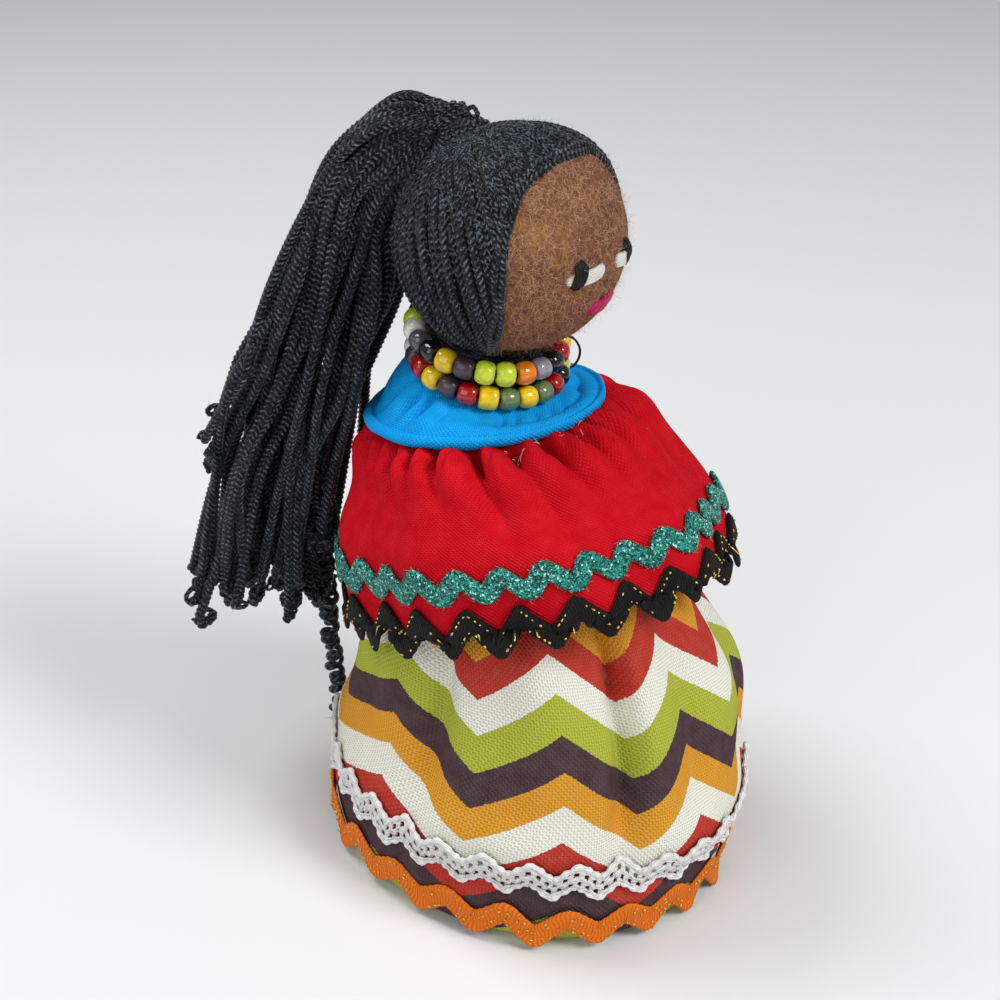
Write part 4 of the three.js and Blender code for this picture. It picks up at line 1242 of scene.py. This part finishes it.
def hairline_cords():
    bm = fresh_mesh()
    for margin, reach in FACE_CORDS:
        directions = []
        for k in range(FACE_STEPS + 1):
            turn = between(-reach, reach, k / FACE_STEPS) * DEG
            lean = hairline(turn) + (margin + 0.5 * math.sin(11 * turn + margin)) * DEG
            aside = FACE_UP * math.cos(turn) + FACE_SIDE * math.sin(turn)
            directions.append(FACE_AXIS * math.cos(lean) + aside * math.sin(lean))
        heights = [head_surface(out) + (0.5 + 0.1 * margin) * MM for out in directions]
        plaited_cord(bm, directions, [0.72 * MM] * len(directions), heights, margin)
    hair_piece("hairline_cords", bm, "head")


def hair_lining():
    """A dark layer between the felt and the cords."""
    bm = fresh_mesh()
    bmesh.ops.create_uvsphere(bm, u_segments=96, v_segments=64, radius=1, calc_uvs=True)
    bare = [f for f in bm.faces if on_face(f.calc_center_median()) or under_nape(f.calc_center_median())]
    bmesh.ops.delete(bm, geom=bare, context="FACES")
    for vert in bm.verts:
        out = vert.co.normalized()
        vert.co = HEAD + out * (head_surface(out) + 0.3 * MM)
    new_piece("hair_lining", bm, black_stitch, "head", ())


def lit_hair(out):
    """Hair on the lit upper side, thinning out toward the ears, where grey fibres stand for painted glints.
    """
    return not hidden(out, 1 * DEG) and out.z > 0.25 + 0.5 * noise.noise(out * 60)


head_cords()
hairline_cords()
hair_lining()
fibre_coat("hair_fibres", 1500, lambda out: not hidden(out, 0), 3 * MM, 0.05 * MM, (0.05, 0.6), hair_fibre,
           1.3 * MM)
# Grey fibres laid along the cords are painted glints, with more of them on the lit upper side.
fibre_coat("hair_glints", 900, lambda out: not hidden(out, 1 * DEG), 1.1 * MM, 0.09 * MM, (0, 0.1),
           painted_glint_fibre, 1.4 * MM, ROOT_AXIS)
fibre_coat("crown_glints", 1700, lit_hair, 1 * MM, 0.1 * MM, (0, 0.1), painted_glint_fibre, 1.45 * MM,
           ROOT_AXIS)


# Ponytail: a mound of gathered hair, the tie round it, and the plaited cords that hang from it.
HEADWARD = Vector((0, -ROOT_AXIS.z, ROOT_AXIS.y))
ASIDE = Vector((1, 0, 0))
ROOT_CORDS = 20
ROOT_PATH = ((-2.6, 5.4), (-1, 4.3), (0.1, 3.2), (0.7, 2.2), (1.1, 0.8))  # rise and spread
SWEPT_CORDS = 30
SWEPT_PATH = ((9.6, 0.3), (8, 0.4), (6.4, 0.6), (5.1, 1.1), (4.3, 1.8), (3.9, 2.5))  # spread and rise


def at_root(rise, headward, aside):
    return ROOT + ROOT_AXIS * rise + HEADWARD * headward + ASIDE * aside


def gathered_root():
    """The mound of hair that is drawn together under the tie."""
    bm = fresh_mesh()
    for i in range(ROOT_CORDS):
        turn = 2 * math.pi * i / ROOT_CORDS
        path = [at_root(rise * MM, spread * MM * math.cos(turn), spread * MM * math.sin(turn))
                for rise, spread in ROOT_PATH]
        sweep(bm, Line(path, 6).points, scaled(blunt(0.06, 0.06), 0.75 * MM), 8, lobes=0.18, phase=i)
    hair_piece("gathered_root", bm, "ponytail_root", ["ponytail_root"])


def swept_up_hair():
    """Hair that climbs from the back and sides of the head to the tie."""
    bm = fresh_mesh()
    for i in range(SWEPT_CORDS):
        turn = 2 * math.pi * i / SWEPT_CORDS
        if math.cos(turn) > 0.3:
            continue
        path = []
        for spread, rise in SWEPT_PATH:
            out = (at_root(0, spread * MM * math.cos(turn), spread * MM * math.sin(turn)) - HEAD).normalized()
            path.append(HEAD + out * (head_surface(out) + HAIR_RISE + rise * MM))
        sweep(bm, Line(path, 8).spaced(PLAIT_STEP), scaled(blunt(0.08, 0.08), 0.8 * MM), 8, lobes=LOBES,
              phase=1.7 * i)
    hair_piece("swept_up_hair", bm, "head")


def tail_line(depth, side, pick):
    """The hanging line of one cord: depth 0 to 1 is inner to outer, side -1 to 1 is across the tail."""
    def gathered(rise, spread):
        return at_root(rise, (2 * depth - 1) * spread, side * spread)
    points = [gathered(1.4 * MM, TAIL_NECK * 0.9), gathered(TIE_RISE, TAIL_NECK),
              gathered(TIE_RISE + 1 * MM, TAIL_NECK)]
    droop = abs(side) ** 1.6
    turns = [pick.uniform(0, 6.3) for _ in range(2)]
    for number, (inner, outer, half) in enumerate(TAIL_EDGES):
        loose = (0.15 + 0.4 * number) * MM
        out = between(inner[0], outer[0], depth) * MM + loose * math.sin(1.7 * number + turns[0])
        rise = between(inner[1], outer[1], depth) * MM - droop * TAIL_DROOP[number] * MM
        aside = side * half * MM + loose * math.sin(2.1 * number + turns[1]) + pick.uniform(-0.3, 0.3) * loose
        points.append(ROOT + TAIL_OUT * out + TAIL_ACROSS * aside + UP * rise)
    return Line(points, 10)


def curled_end(points, pick):
    """Adds the small loop that a cut cord curls into."""
    tip, heading = points[-1], (points[-1] - points[-4]).normalized()
    side = heading.orthogonal().normalized()
    side.rotate(Matrix.Rotation(pick.uniform(0, 2 * math.pi), 3, heading))
    size = pick.uniform(1, 1.8) * MM
    turn = pick.uniform(0.75, 1.35) * 2 * math.pi
    curl = []
    for k in range(1, 10):
        a = turn * k / 9
        wander = side.cross(heading) * (0.05 * MM * a)
        curl.append(tip + side * (size * (1 - math.cos(a))) + heading * (size * math.sin(a)) + wander)
    return points + curl


BARE_END = 6.5 * MM  # thin end of a cord past its plait
cord_ends = []  # where each cord ends, and which way it points there


def hang_cord(bm, line, pick):
    """One plaited cord along a line, thin where it leaves the tie, with a curled end."""
    count = 60
    path = Line(curled_end([line.at(line.length * i / count) for i in range(count + 1)], pick), 4)
    close = blunt(0.006, 0.006)
    thick = CORD / 2 * pick.uniform(0.9, 1.06)
    bared = 1 - BARE_END / path.length

    def radius(share):
        tied = between(0.5, 1, ease(share, 0.05, 0.17))
        end = between(1, 0.5, ease(share, bared, bared + 0.01))
        return thick * tied * end * close(share)

    sweep(bm, path.spaced(PLAIT_STEP), radius, 8, lobes=LOBES, phase=pick.uniform(0, 6.3))
    cord_ends.append((path.points[-1], (path.points[-1] - path.points[-3]).normalized()))


def tail_cords(name, rows, replaced):
    bm = fresh_mesh()
    pick = random.Random(name)
    for row in rows:
        for layer in range(TAIL_LAYERS):
            depth = (row + 0.5 + 0.25 * (layer % 2)) / TAIL_ROWS
            side = (layer + 0.5) / TAIL_LAYERS * 2 - 1
            line = tail_line(depth, side, pick)
            share = pick.uniform(0.92, 1.0) if pick.random() < 0.8 else pick.uniform(0.78, 0.92)
            keep = [line.at(line.length * share * i / 40) for i in range(41)]
            hang_cord(bm, Line(keep, 2), pick)
    return hair_piece(name, bm, "ponytail", replaced)


# Short cords on the outside of the tail: place across it, then behind the root and above it at the tip.
SHORT_CORDS = ((-0.9, 47, -60), (-0.75, 45.6, -62), (-0.5, 48.2, -68), (-0.2, 47, -58))
SHORT_REACH = 12 * MM  # half width of the tail there


def short_cords():
    bm = fresh_mesh()
    pick = random.Random(4)
    for side, out, rise in SHORT_CORDS:
        full = tail_line(1.0, side, pick)
        upper = [full.at(full.length * 0.62 * i / 30) for i in range(28)]
        tip = ROOT + TAIL_OUT * out * MM + TAIL_ACROSS * side * SHORT_REACH + UP * rise * MM
        hang_cord(bm, Line([*upper, between(upper[-1], tip, 0.5) + TAIL_OUT * 0.4 * MM, tip], 3), pick)
    hair_piece("short_hair_cords", bm, "ponytail")


def frayed_ends():
    """Loose fibres at the cut end of each cord."""
    bm = fresh_mesh()
    for tip, heading in cord_ends:
        for _ in range(7):
            way = (heading + scatter(chance, 0.8)).normalized() * chance.uniform(0.8, 2.2) * MM
            lay_fibre(bm, tip, way, scatter(chance, 0.35) * MM, 0.035 * MM, 3)
    new_piece("frayed_ends", bm, hair_fibre, "ponytail", ())


def knotted_ends():
    """Small tangled loops of yarn at the end of each cord."""
    bm = fresh_mesh()
    for tip, heading in cord_ends:
        for _ in range(3):
            wide = scatter(chance, 1).normalized()
            deep = wide.cross(heading).normalized()
            size = chance.uniform(0.55, 1.15) * MM
            middle = tip - heading * chance.uniform(-0.8, 2) * MM + wide * size
            ring = []
            for k in range(10):
                a = 2 * math.pi * k / 10
                twist = heading * (0.4 * MM * math.sin(2 * a))
                ring.append(middle + wide * (size * math.cos(a)) + deep * (size * math.sin(a)) + twist)
            sweep(bm, ring, lambda share: 0.34 * MM, 5, ring=True)
    hair_piece("knotted_ends", bm, "ponytail")


def tie_winding():
    """The cord that is wound round the gathered hair."""
    bm = fresh_mesh()
    wound = []
    for i in range(TIE_TURNS * TURN_STEPS + 1):
        turn = 2 * math.pi * i / TURN_STEPS
        rise = TIE_RISE + (i / TURN_STEPS - TIE_TURNS / 2) * TIE_PITCH
        wound.append(at_root(rise, TIE_RADIUS * math.cos(turn), TIE_RADIUS * math.sin(turn)))
    sweep(bm, Line(wound, 2).spaced(PLAIT_STEP), scaled(blunt(0.01, 0.01), 0.5 * MM), 8, lobes=0.16)
    hair_piece("tie_winding", bm, "ponytail", ["ponytail_tie"])


def tie_knot():
    """The knot of the winding: a closed cord in two turns."""
    bm = fresh_mesh()
    knot = at_root(TIE_RISE - 0.9 * MM, TIE_RADIUS + 0.4 * MM, 0)
    loop = []
    for i in range(60):
        turn = 4 * math.pi * i / 60
        swell = (1 + 0.45 * math.cos(1.5 * turn)) * 0.55 * MM
        loop.append(knot + ROOT_AXIS * (swell * math.cos(turn)) + ASIDE * (swell * math.sin(turn))
                    + HEADWARD * (0.45 * MM * math.sin(1.5 * turn)))
    sweep(bm, loop, lambda share: 0.42 * MM, 8, ring=True, lobes=0.1)
    hair_piece("tie_knot", bm, "ponytail", ["ponytail_knot"])


def hair_loop():
    """A small squarish loop of cord on the hair in front of the tie."""
    bm = fresh_mesh()
    loop = []
    for i in range(40):
        turn = 2 * math.pi * i / 40
        corner = (abs(math.cos(turn)) ** 4 + abs(math.sin(turn)) ** 4) ** -0.25
        rise = 0.5 + 0.95 * corner * math.sin(turn)
        headward = 4.8 + 0.65 * corner * math.cos(turn)
        loop.append(at_root(rise * MM, headward * MM, 0.6 * corner * math.cos(turn) * MM))
    sweep(bm, loop, lambda share: 0.42 * MM, 8, ring=True, lobes=LOBES)
    hair_piece("hair_loop", bm, "head")


# One strand hangs lower than the rest: straight inside the tail, then unplaited and curly.
CURLY_ROUTE = [  # behind the root, above it and across the tail
    (3.6, 3.6, -1), (6.6, 1.6, -3), (10.4, -6, -4), (13.6, -18, -4.6), (16, -32, -5), (21, -48, -5.6),
    (25.7, -66, -5), (27.1, -82, -3.4), (28.3, -99.2, 0.5), (29.2, -114.5, 4), (28.9, -126.7, 5.7),
    (29.3, -133.7, 6.3),
]
CURLY_START = 0.5  # share of the length where the curls begin
CURLY_STEPS = 1399
CURLY_ENDS = 26  # loose fibres at its tip


def curled(share):
    return ease(share, CURLY_START, CURLY_START + 0.1)


def curly_coil(line):
    """The yarn round the strand's route, in curls of uneven pitch and width."""
    coil, turn = [], 0
    for i in range(CURLY_STEPS + 1):
        share = i / CURLY_STEPS
        run = line.length * share
        heading = (line.at(run + 0.3 * MM) - line.at(run - 0.3 * MM)).normalized()
        wide = (TAIL_ACROSS - heading * TAIL_ACROSS.dot(heading)).normalized()
        pitch = (2.5 + 1.4 * noise.noise((run / (4 * MM), 0, 0))) * MM
        turn += 2 * math.pi * line.length / CURLY_STEPS / pitch
        size = (1.25 + 0.9 * noise.noise((run / (2.2 * MM), 7, 0))) * curled(share) * MM
        stray = noise.noise_vector((run / (3 * MM), 3, 5)) * curled(share) * 0.9 * MM
        away = wide * math.cos(turn) + heading.cross(wide) * math.sin(turn)
        coil.append(line.at(run) + away * size + stray)
    return coil


def curly_radius(share):
    knots = 1 + 0.3 * math.sin(310 * share) * math.sin(97 * share)
    return between(1, 0.7 * knots, curled(share)) * blunt(0.01, 0.01)(share) * MM


def curly_strand():
    curly_line = Line([ROOT + (TAIL_OUT * out + UP * rise + TAIL_ACROSS * aside) * MM
                       for out, rise, aside in CURLY_ROUTE])
    curly_path = [curly_line.at(curly_line.length * i / 36) for i in range(37)]
    coil = curly_coil(curly_line)
    bm = fresh_mesh()
    sweep(bm, coil, curly_radius, 7)
    curly = hair_piece("curly_strand", bm, "ponytail")
    bm = fresh_mesh()
    for _ in range(CURLY_ENDS):
        way = (Vector((-0.5, 0.1, -0.6)) + scatter(chance, 0.5)).normalized() * chance.uniform(1.5, 4) * MM
        lay_fibre(bm, coil[-1], way, scatter(chance, 0.6) * MM, 0.05 * MM, 4)
    curly_end = new_piece("curly_strand_end", bm, hair_fibre, "ponytail", ())
    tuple(curly_path[0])


gathered_root()
swept_up_hair()
tail_cords("inner_hair_cords", range(0, 3), ["ponytail_inner_cords"])
tail_cords("inner_hair_cords_2", range(3, 7), ())
tail_cords("outer_hair_cords", range(7, 10), ["ponytail_outer_cords"])
tail_cords("outer_hair_cords_2", range(10, TAIL_ROWS), ())
short_cords()
frayed_ends()
knotted_ends()
tie_winding()
tie_knot()
hair_loop()
curly_strand()


# Beads.
def strand_axes(label):
    """The middle of a strand, and its directions to the front and to the left."""
    ahead = (FRONT - NECK_AXIS * FRONT.dot(NECK_AXIS)).normalized()
    return STRANDS[label], ahead, NECK_AXIS.cross(ahead)


def strand_turn(label):
    """How far the strand lies turned at rest, from its middle bead."""
    middle, ahead, left = strand_axes(label)
    low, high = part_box("%s_bead_%02d" % (label, (LOOSE_BEADS + 1) // 2))
    away = (low + high) / 2 - middle
    return math.atan2(away.dot(left), away.dot(ahead))


def on_strand(label, number):
    """A bead's place, counted from the middle bead, with the directions outward and along the thread."""
    middle, ahead, left = strand_axes(label)
    turn = 2 * math.pi * number / BEADS + strand_turn(label)
    out = ahead * math.cos(turn) + left * math.sin(turn)
    return middle + out * NECKLACE_RADIUS, out, NECK_AXIS.cross(out)


def bead_mesh(label, number, fat, round_share):
    """A glass bead: a rounded ring spun about its thread, then put in place."""
    bm = fresh_mesh()
    rim = []
    for i in range(15):
        turn = math.pi * i / 14
        along = math.copysign(abs(math.cos(turn)) ** round_share, math.cos(turn))
        away = BEAD_MOUTH + (BEAD_RADIUS * fat - BEAD_MOUTH) * math.sin(turn) ** round_share
        rim.append(bm.verts.new((BEAD_HALF * along, away, 0)))
    rim += [bm.verts.new((BEAD_HALF * share, BEAD_BORE, 0)) for share in (-0.86, 0, 0.86)]
    edges = [bm.edges.new(pair) for pair in zip(rim, rim[1:] + rim[:1])]
    bmesh.ops.spin(bm, geom=rim + edges, cent=(0, 0, 0), axis=(1, 0, 0), angle=2 * math.pi, steps=24,
                   use_merge=True)
    bmesh.ops.remove_doubles(bm, verts=bm.verts, dist=1e-6)
    bmesh.ops.recalc_face_normals(bm, faces=bm.faces)
    centre, out, along = on_strand(label, number)
    seat = Matrix((along, out, along.cross(out))).transposed().to_4x4()
    seat.translation = centre
    lean = Matrix.Rotation(chance.uniform(-0.12, 0.12), 4, "Z")
    roll = Matrix.Rotation(chance.uniform(0, 6.3), 4, "X")
    bmesh.ops.transform(bm, matrix=seat @ (lean @ roll), verts=bm.verts)
    return bm


glass = {name: bead_glass(name) for name in BEAD_GLASS}
BIG_BEADS = {
    ("upper", 4): 1.04, ("upper", 6): 1.04, ("upper", 7): 1.1, ("upper", 8): 1.02, ("lower", 2): 1.04,
    ("lower", 5): 1.05,
}
SQUARE_BEAD = ("lower", 5)
BOW_TURN = 37 * DEG  # where the tied end of the upper thread stands out
BOW_ENDS = [(0, 0, 0), (0.9, 1.6, 0.2), (2.3, 1.2, 0.5), (3.7, -0.7, 0.9), (4, -2.7, 0.9), (3.4, -4.2, 0.4),
            (2.5, -4.6, -0.3)]
THREAD_STEPS = 92


def glass_beads(label, colours):
    for i, colour in enumerate(colours):
        number = i + 1
        fat = BIG_BEADS.get((label, number), chance.uniform(0.94, 1.0))
        round_share = 0.55 if (label, number) == SQUARE_BEAD else chance.uniform(0.72, 0.9)
        nodes = ["%s_bead_%02d" % (label, number)] if i < LOOSE_BEADS else []
        bm = bead_mesh(label, i - (LOOSE_BEADS - 1) / 2, fat, round_share)
        name = label + "_glass_%02d" % number
        new_piece(name, bm, glass[colour], "necklace_" + label, nodes)


def bead_thread(label, tied):
    """The thread through a ring of beads; its tied end may stand out as a bow."""
    bm = fresh_mesh()
    ring = [on_strand(label, BEADS * i / THREAD_STEPS)[0] for i in range(THREAD_STEPS)]
    sweep(bm, ring, lambda share: THREAD / 2, 8, ring=True)
    if tied:
        start, out, along = on_strand(label, BEADS * (BOW_TURN - strand_turn(label)) / (2 * math.pi))
        bow = [start + (out * a + NECK_AXIS * b + along * c) * MM for a, b, c in BOW_ENDS]
        sweep(bm, Line(bow, 8).points, scaled(blunt(0.05, 0.05), 0.24 * MM), 6)
    close_seams(bm)
    nodes = [label + "_necklace_thread"]
    new_piece(label + "_thread", bm, black_thread, "necklace_" + label, nodes)


glass_beads("upper", UPPER_BEADS)
bead_thread("upper", tied=True)
glass_beads("lower", LOWER_BEADS)
bead_thread("lower", tied=False)


# Stuffing, neck cord and base.
CORE = [  # radius and height
    (30.5, 2.4), (32, 20), (31, 38), (25.5, 63), (24.6, 74), (17.6, 89.6), (9, 89.6), (7.6, 96), (7.6, 110),
]
NECK_CORD = 0.66 * MM  # radius
NECK_TURNS = 11
NECK_PITCH = 1.15 * MM
NECK_STEPS = 30  # points in one turn
NECK_RAISED = 2.2 * MM  # middle of the winding over the middle of its node
NECK_SLOPE = 0.25  # rise toward the back


def husk_body():
    """The stuffing with its neck, closed at both ends."""
    bm = fresh_mesh()
    core_line = Line([(radius * MM, height * MM) for radius, height in CORE], 8)

    def place(u, v):
        return body_point((u - 0.5) * 2 * math.pi, *core_line.at(v * core_line.length))

    lay_grid(bm, 64, 80, place)
    close_seams(bm)
    bmesh.ops.holes_fill(bm, edges=[edge for edge in bm.edges if edge.is_boundary], sides=0)
    core = new_piece("husk_body", bm, husk_fibre, "body", ["body_core"])


def neck_winding():
    """The cord that is wound round the neck."""
    bm = fresh_mesh()
    cord_low, cord_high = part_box("neck_cord")
    neck_middle = (cord_low + cord_high) / 2
    neck_radius = (cord_high.x - cord_low.x) / 2 - 0.65 * MM
    turns = []
    for i in range(NECK_TURNS * NECK_STEPS + 1):
        turn = 2 * math.pi * i / NECK_STEPS
        rise = (i / NECK_STEPS - NECK_TURNS / 2) * NECK_PITCH + NECK_RAISED
        rise += NECK_SLOPE * neck_radius * math.sin(turn)
        turns.append(neck_middle + Vector((neck_radius * math.cos(turn), neck_radius * math.sin(turn), rise)))
    sweep(bm, turns, scaled(blunt(0.01, 0.01), NECK_CORD), 8, lobes=0.1)
    close_seams(bm)
    new_piece("neck_winding", bm, black_yarn, "body", ["neck_cord"])


husk_body()
neck_winding()
frame["nodes"]["base_disc"].data.materials.clear()
frame["nodes"]["base_disc"].data.materials.append(stiff_card)


# Floor, light and camera.
bm = bmesh.new()
bmesh.ops.create_grid(bm, x_segments=1, y_segments=1, size=3)
floor_mesh = bpy.data.meshes.new("floor")
bm.to_mesh(floor_mesh)
bm.free()
floor_mesh.materials.append(new_material("pale_floor", paint(222, 223, 225), 0.9)[0])
floor = bpy.data.objects.new("floor", floor_mesh)
bpy.context.scene.collection.objects.link(floor)

world = bpy.data.worlds.new("studio")
world.use_nodes = True
world.node_tree.nodes["Background"].inputs[0].default_value = (1, 1, 1, 1)
world.node_tree.nodes["Background"].inputs[1].default_value = 0.31
bpy.context.scene.world = world


def soft_lamp(name, place, aim, size, power):
    lamp = bpy.data.lights.new(name, "AREA")
    lamp.size = size
    lamp.energy = power
    holder = bpy.data.objects.new(name, lamp)
    holder.location = place
    holder.rotation_mode = "QUATERNION"
    holder.rotation_quaternion = (Vector(aim) - Vector(place)).to_track_quat("-Z", "Y")
    bpy.context.scene.collection.objects.link(holder)


soft_lamp("key_lamp", (0.04, -0.7, 0.74), (0, 0, 0.08), 0.34, 6.4)
soft_lamp("fill_lamp", (-0.72, 0.02, 0.5), (0, 0, 0.08), 0.6, 2)
soft_lamp("top_lamp", (-0.12, 0.4, 0.85), (0, 0, 0.12), 0.4, 4)

CAMERA_PLACE = Vector((-224.3, -161.2, 232)) * MM
CAMERA_PITCH = 29.55 * DEG
CAMERA_HEADING = Vector((0.799, 0.602, 0))
LOOK = CAMERA_HEADING * math.cos(CAMERA_PITCH) - UP * math.sin(CAMERA_PITCH)
lens = bpy.data.cameras.new("camera")
lens.lens = 61.2
lens.sensor_width = 36
lens.clip_start = 0.01
camera = bpy.data.objects.new("camera", lens)
camera.location = CAMERA_PLACE
camera.rotation_mode = "QUATERNION"
camera.rotation_quaternion = LOOK.to_track_quat("-Z", "Y")
bpy.context.scene.collection.objects.link(camera)
bpy.context.scene.camera = camera
bpy.context.scene.view_settings.view_transform = "Standard"
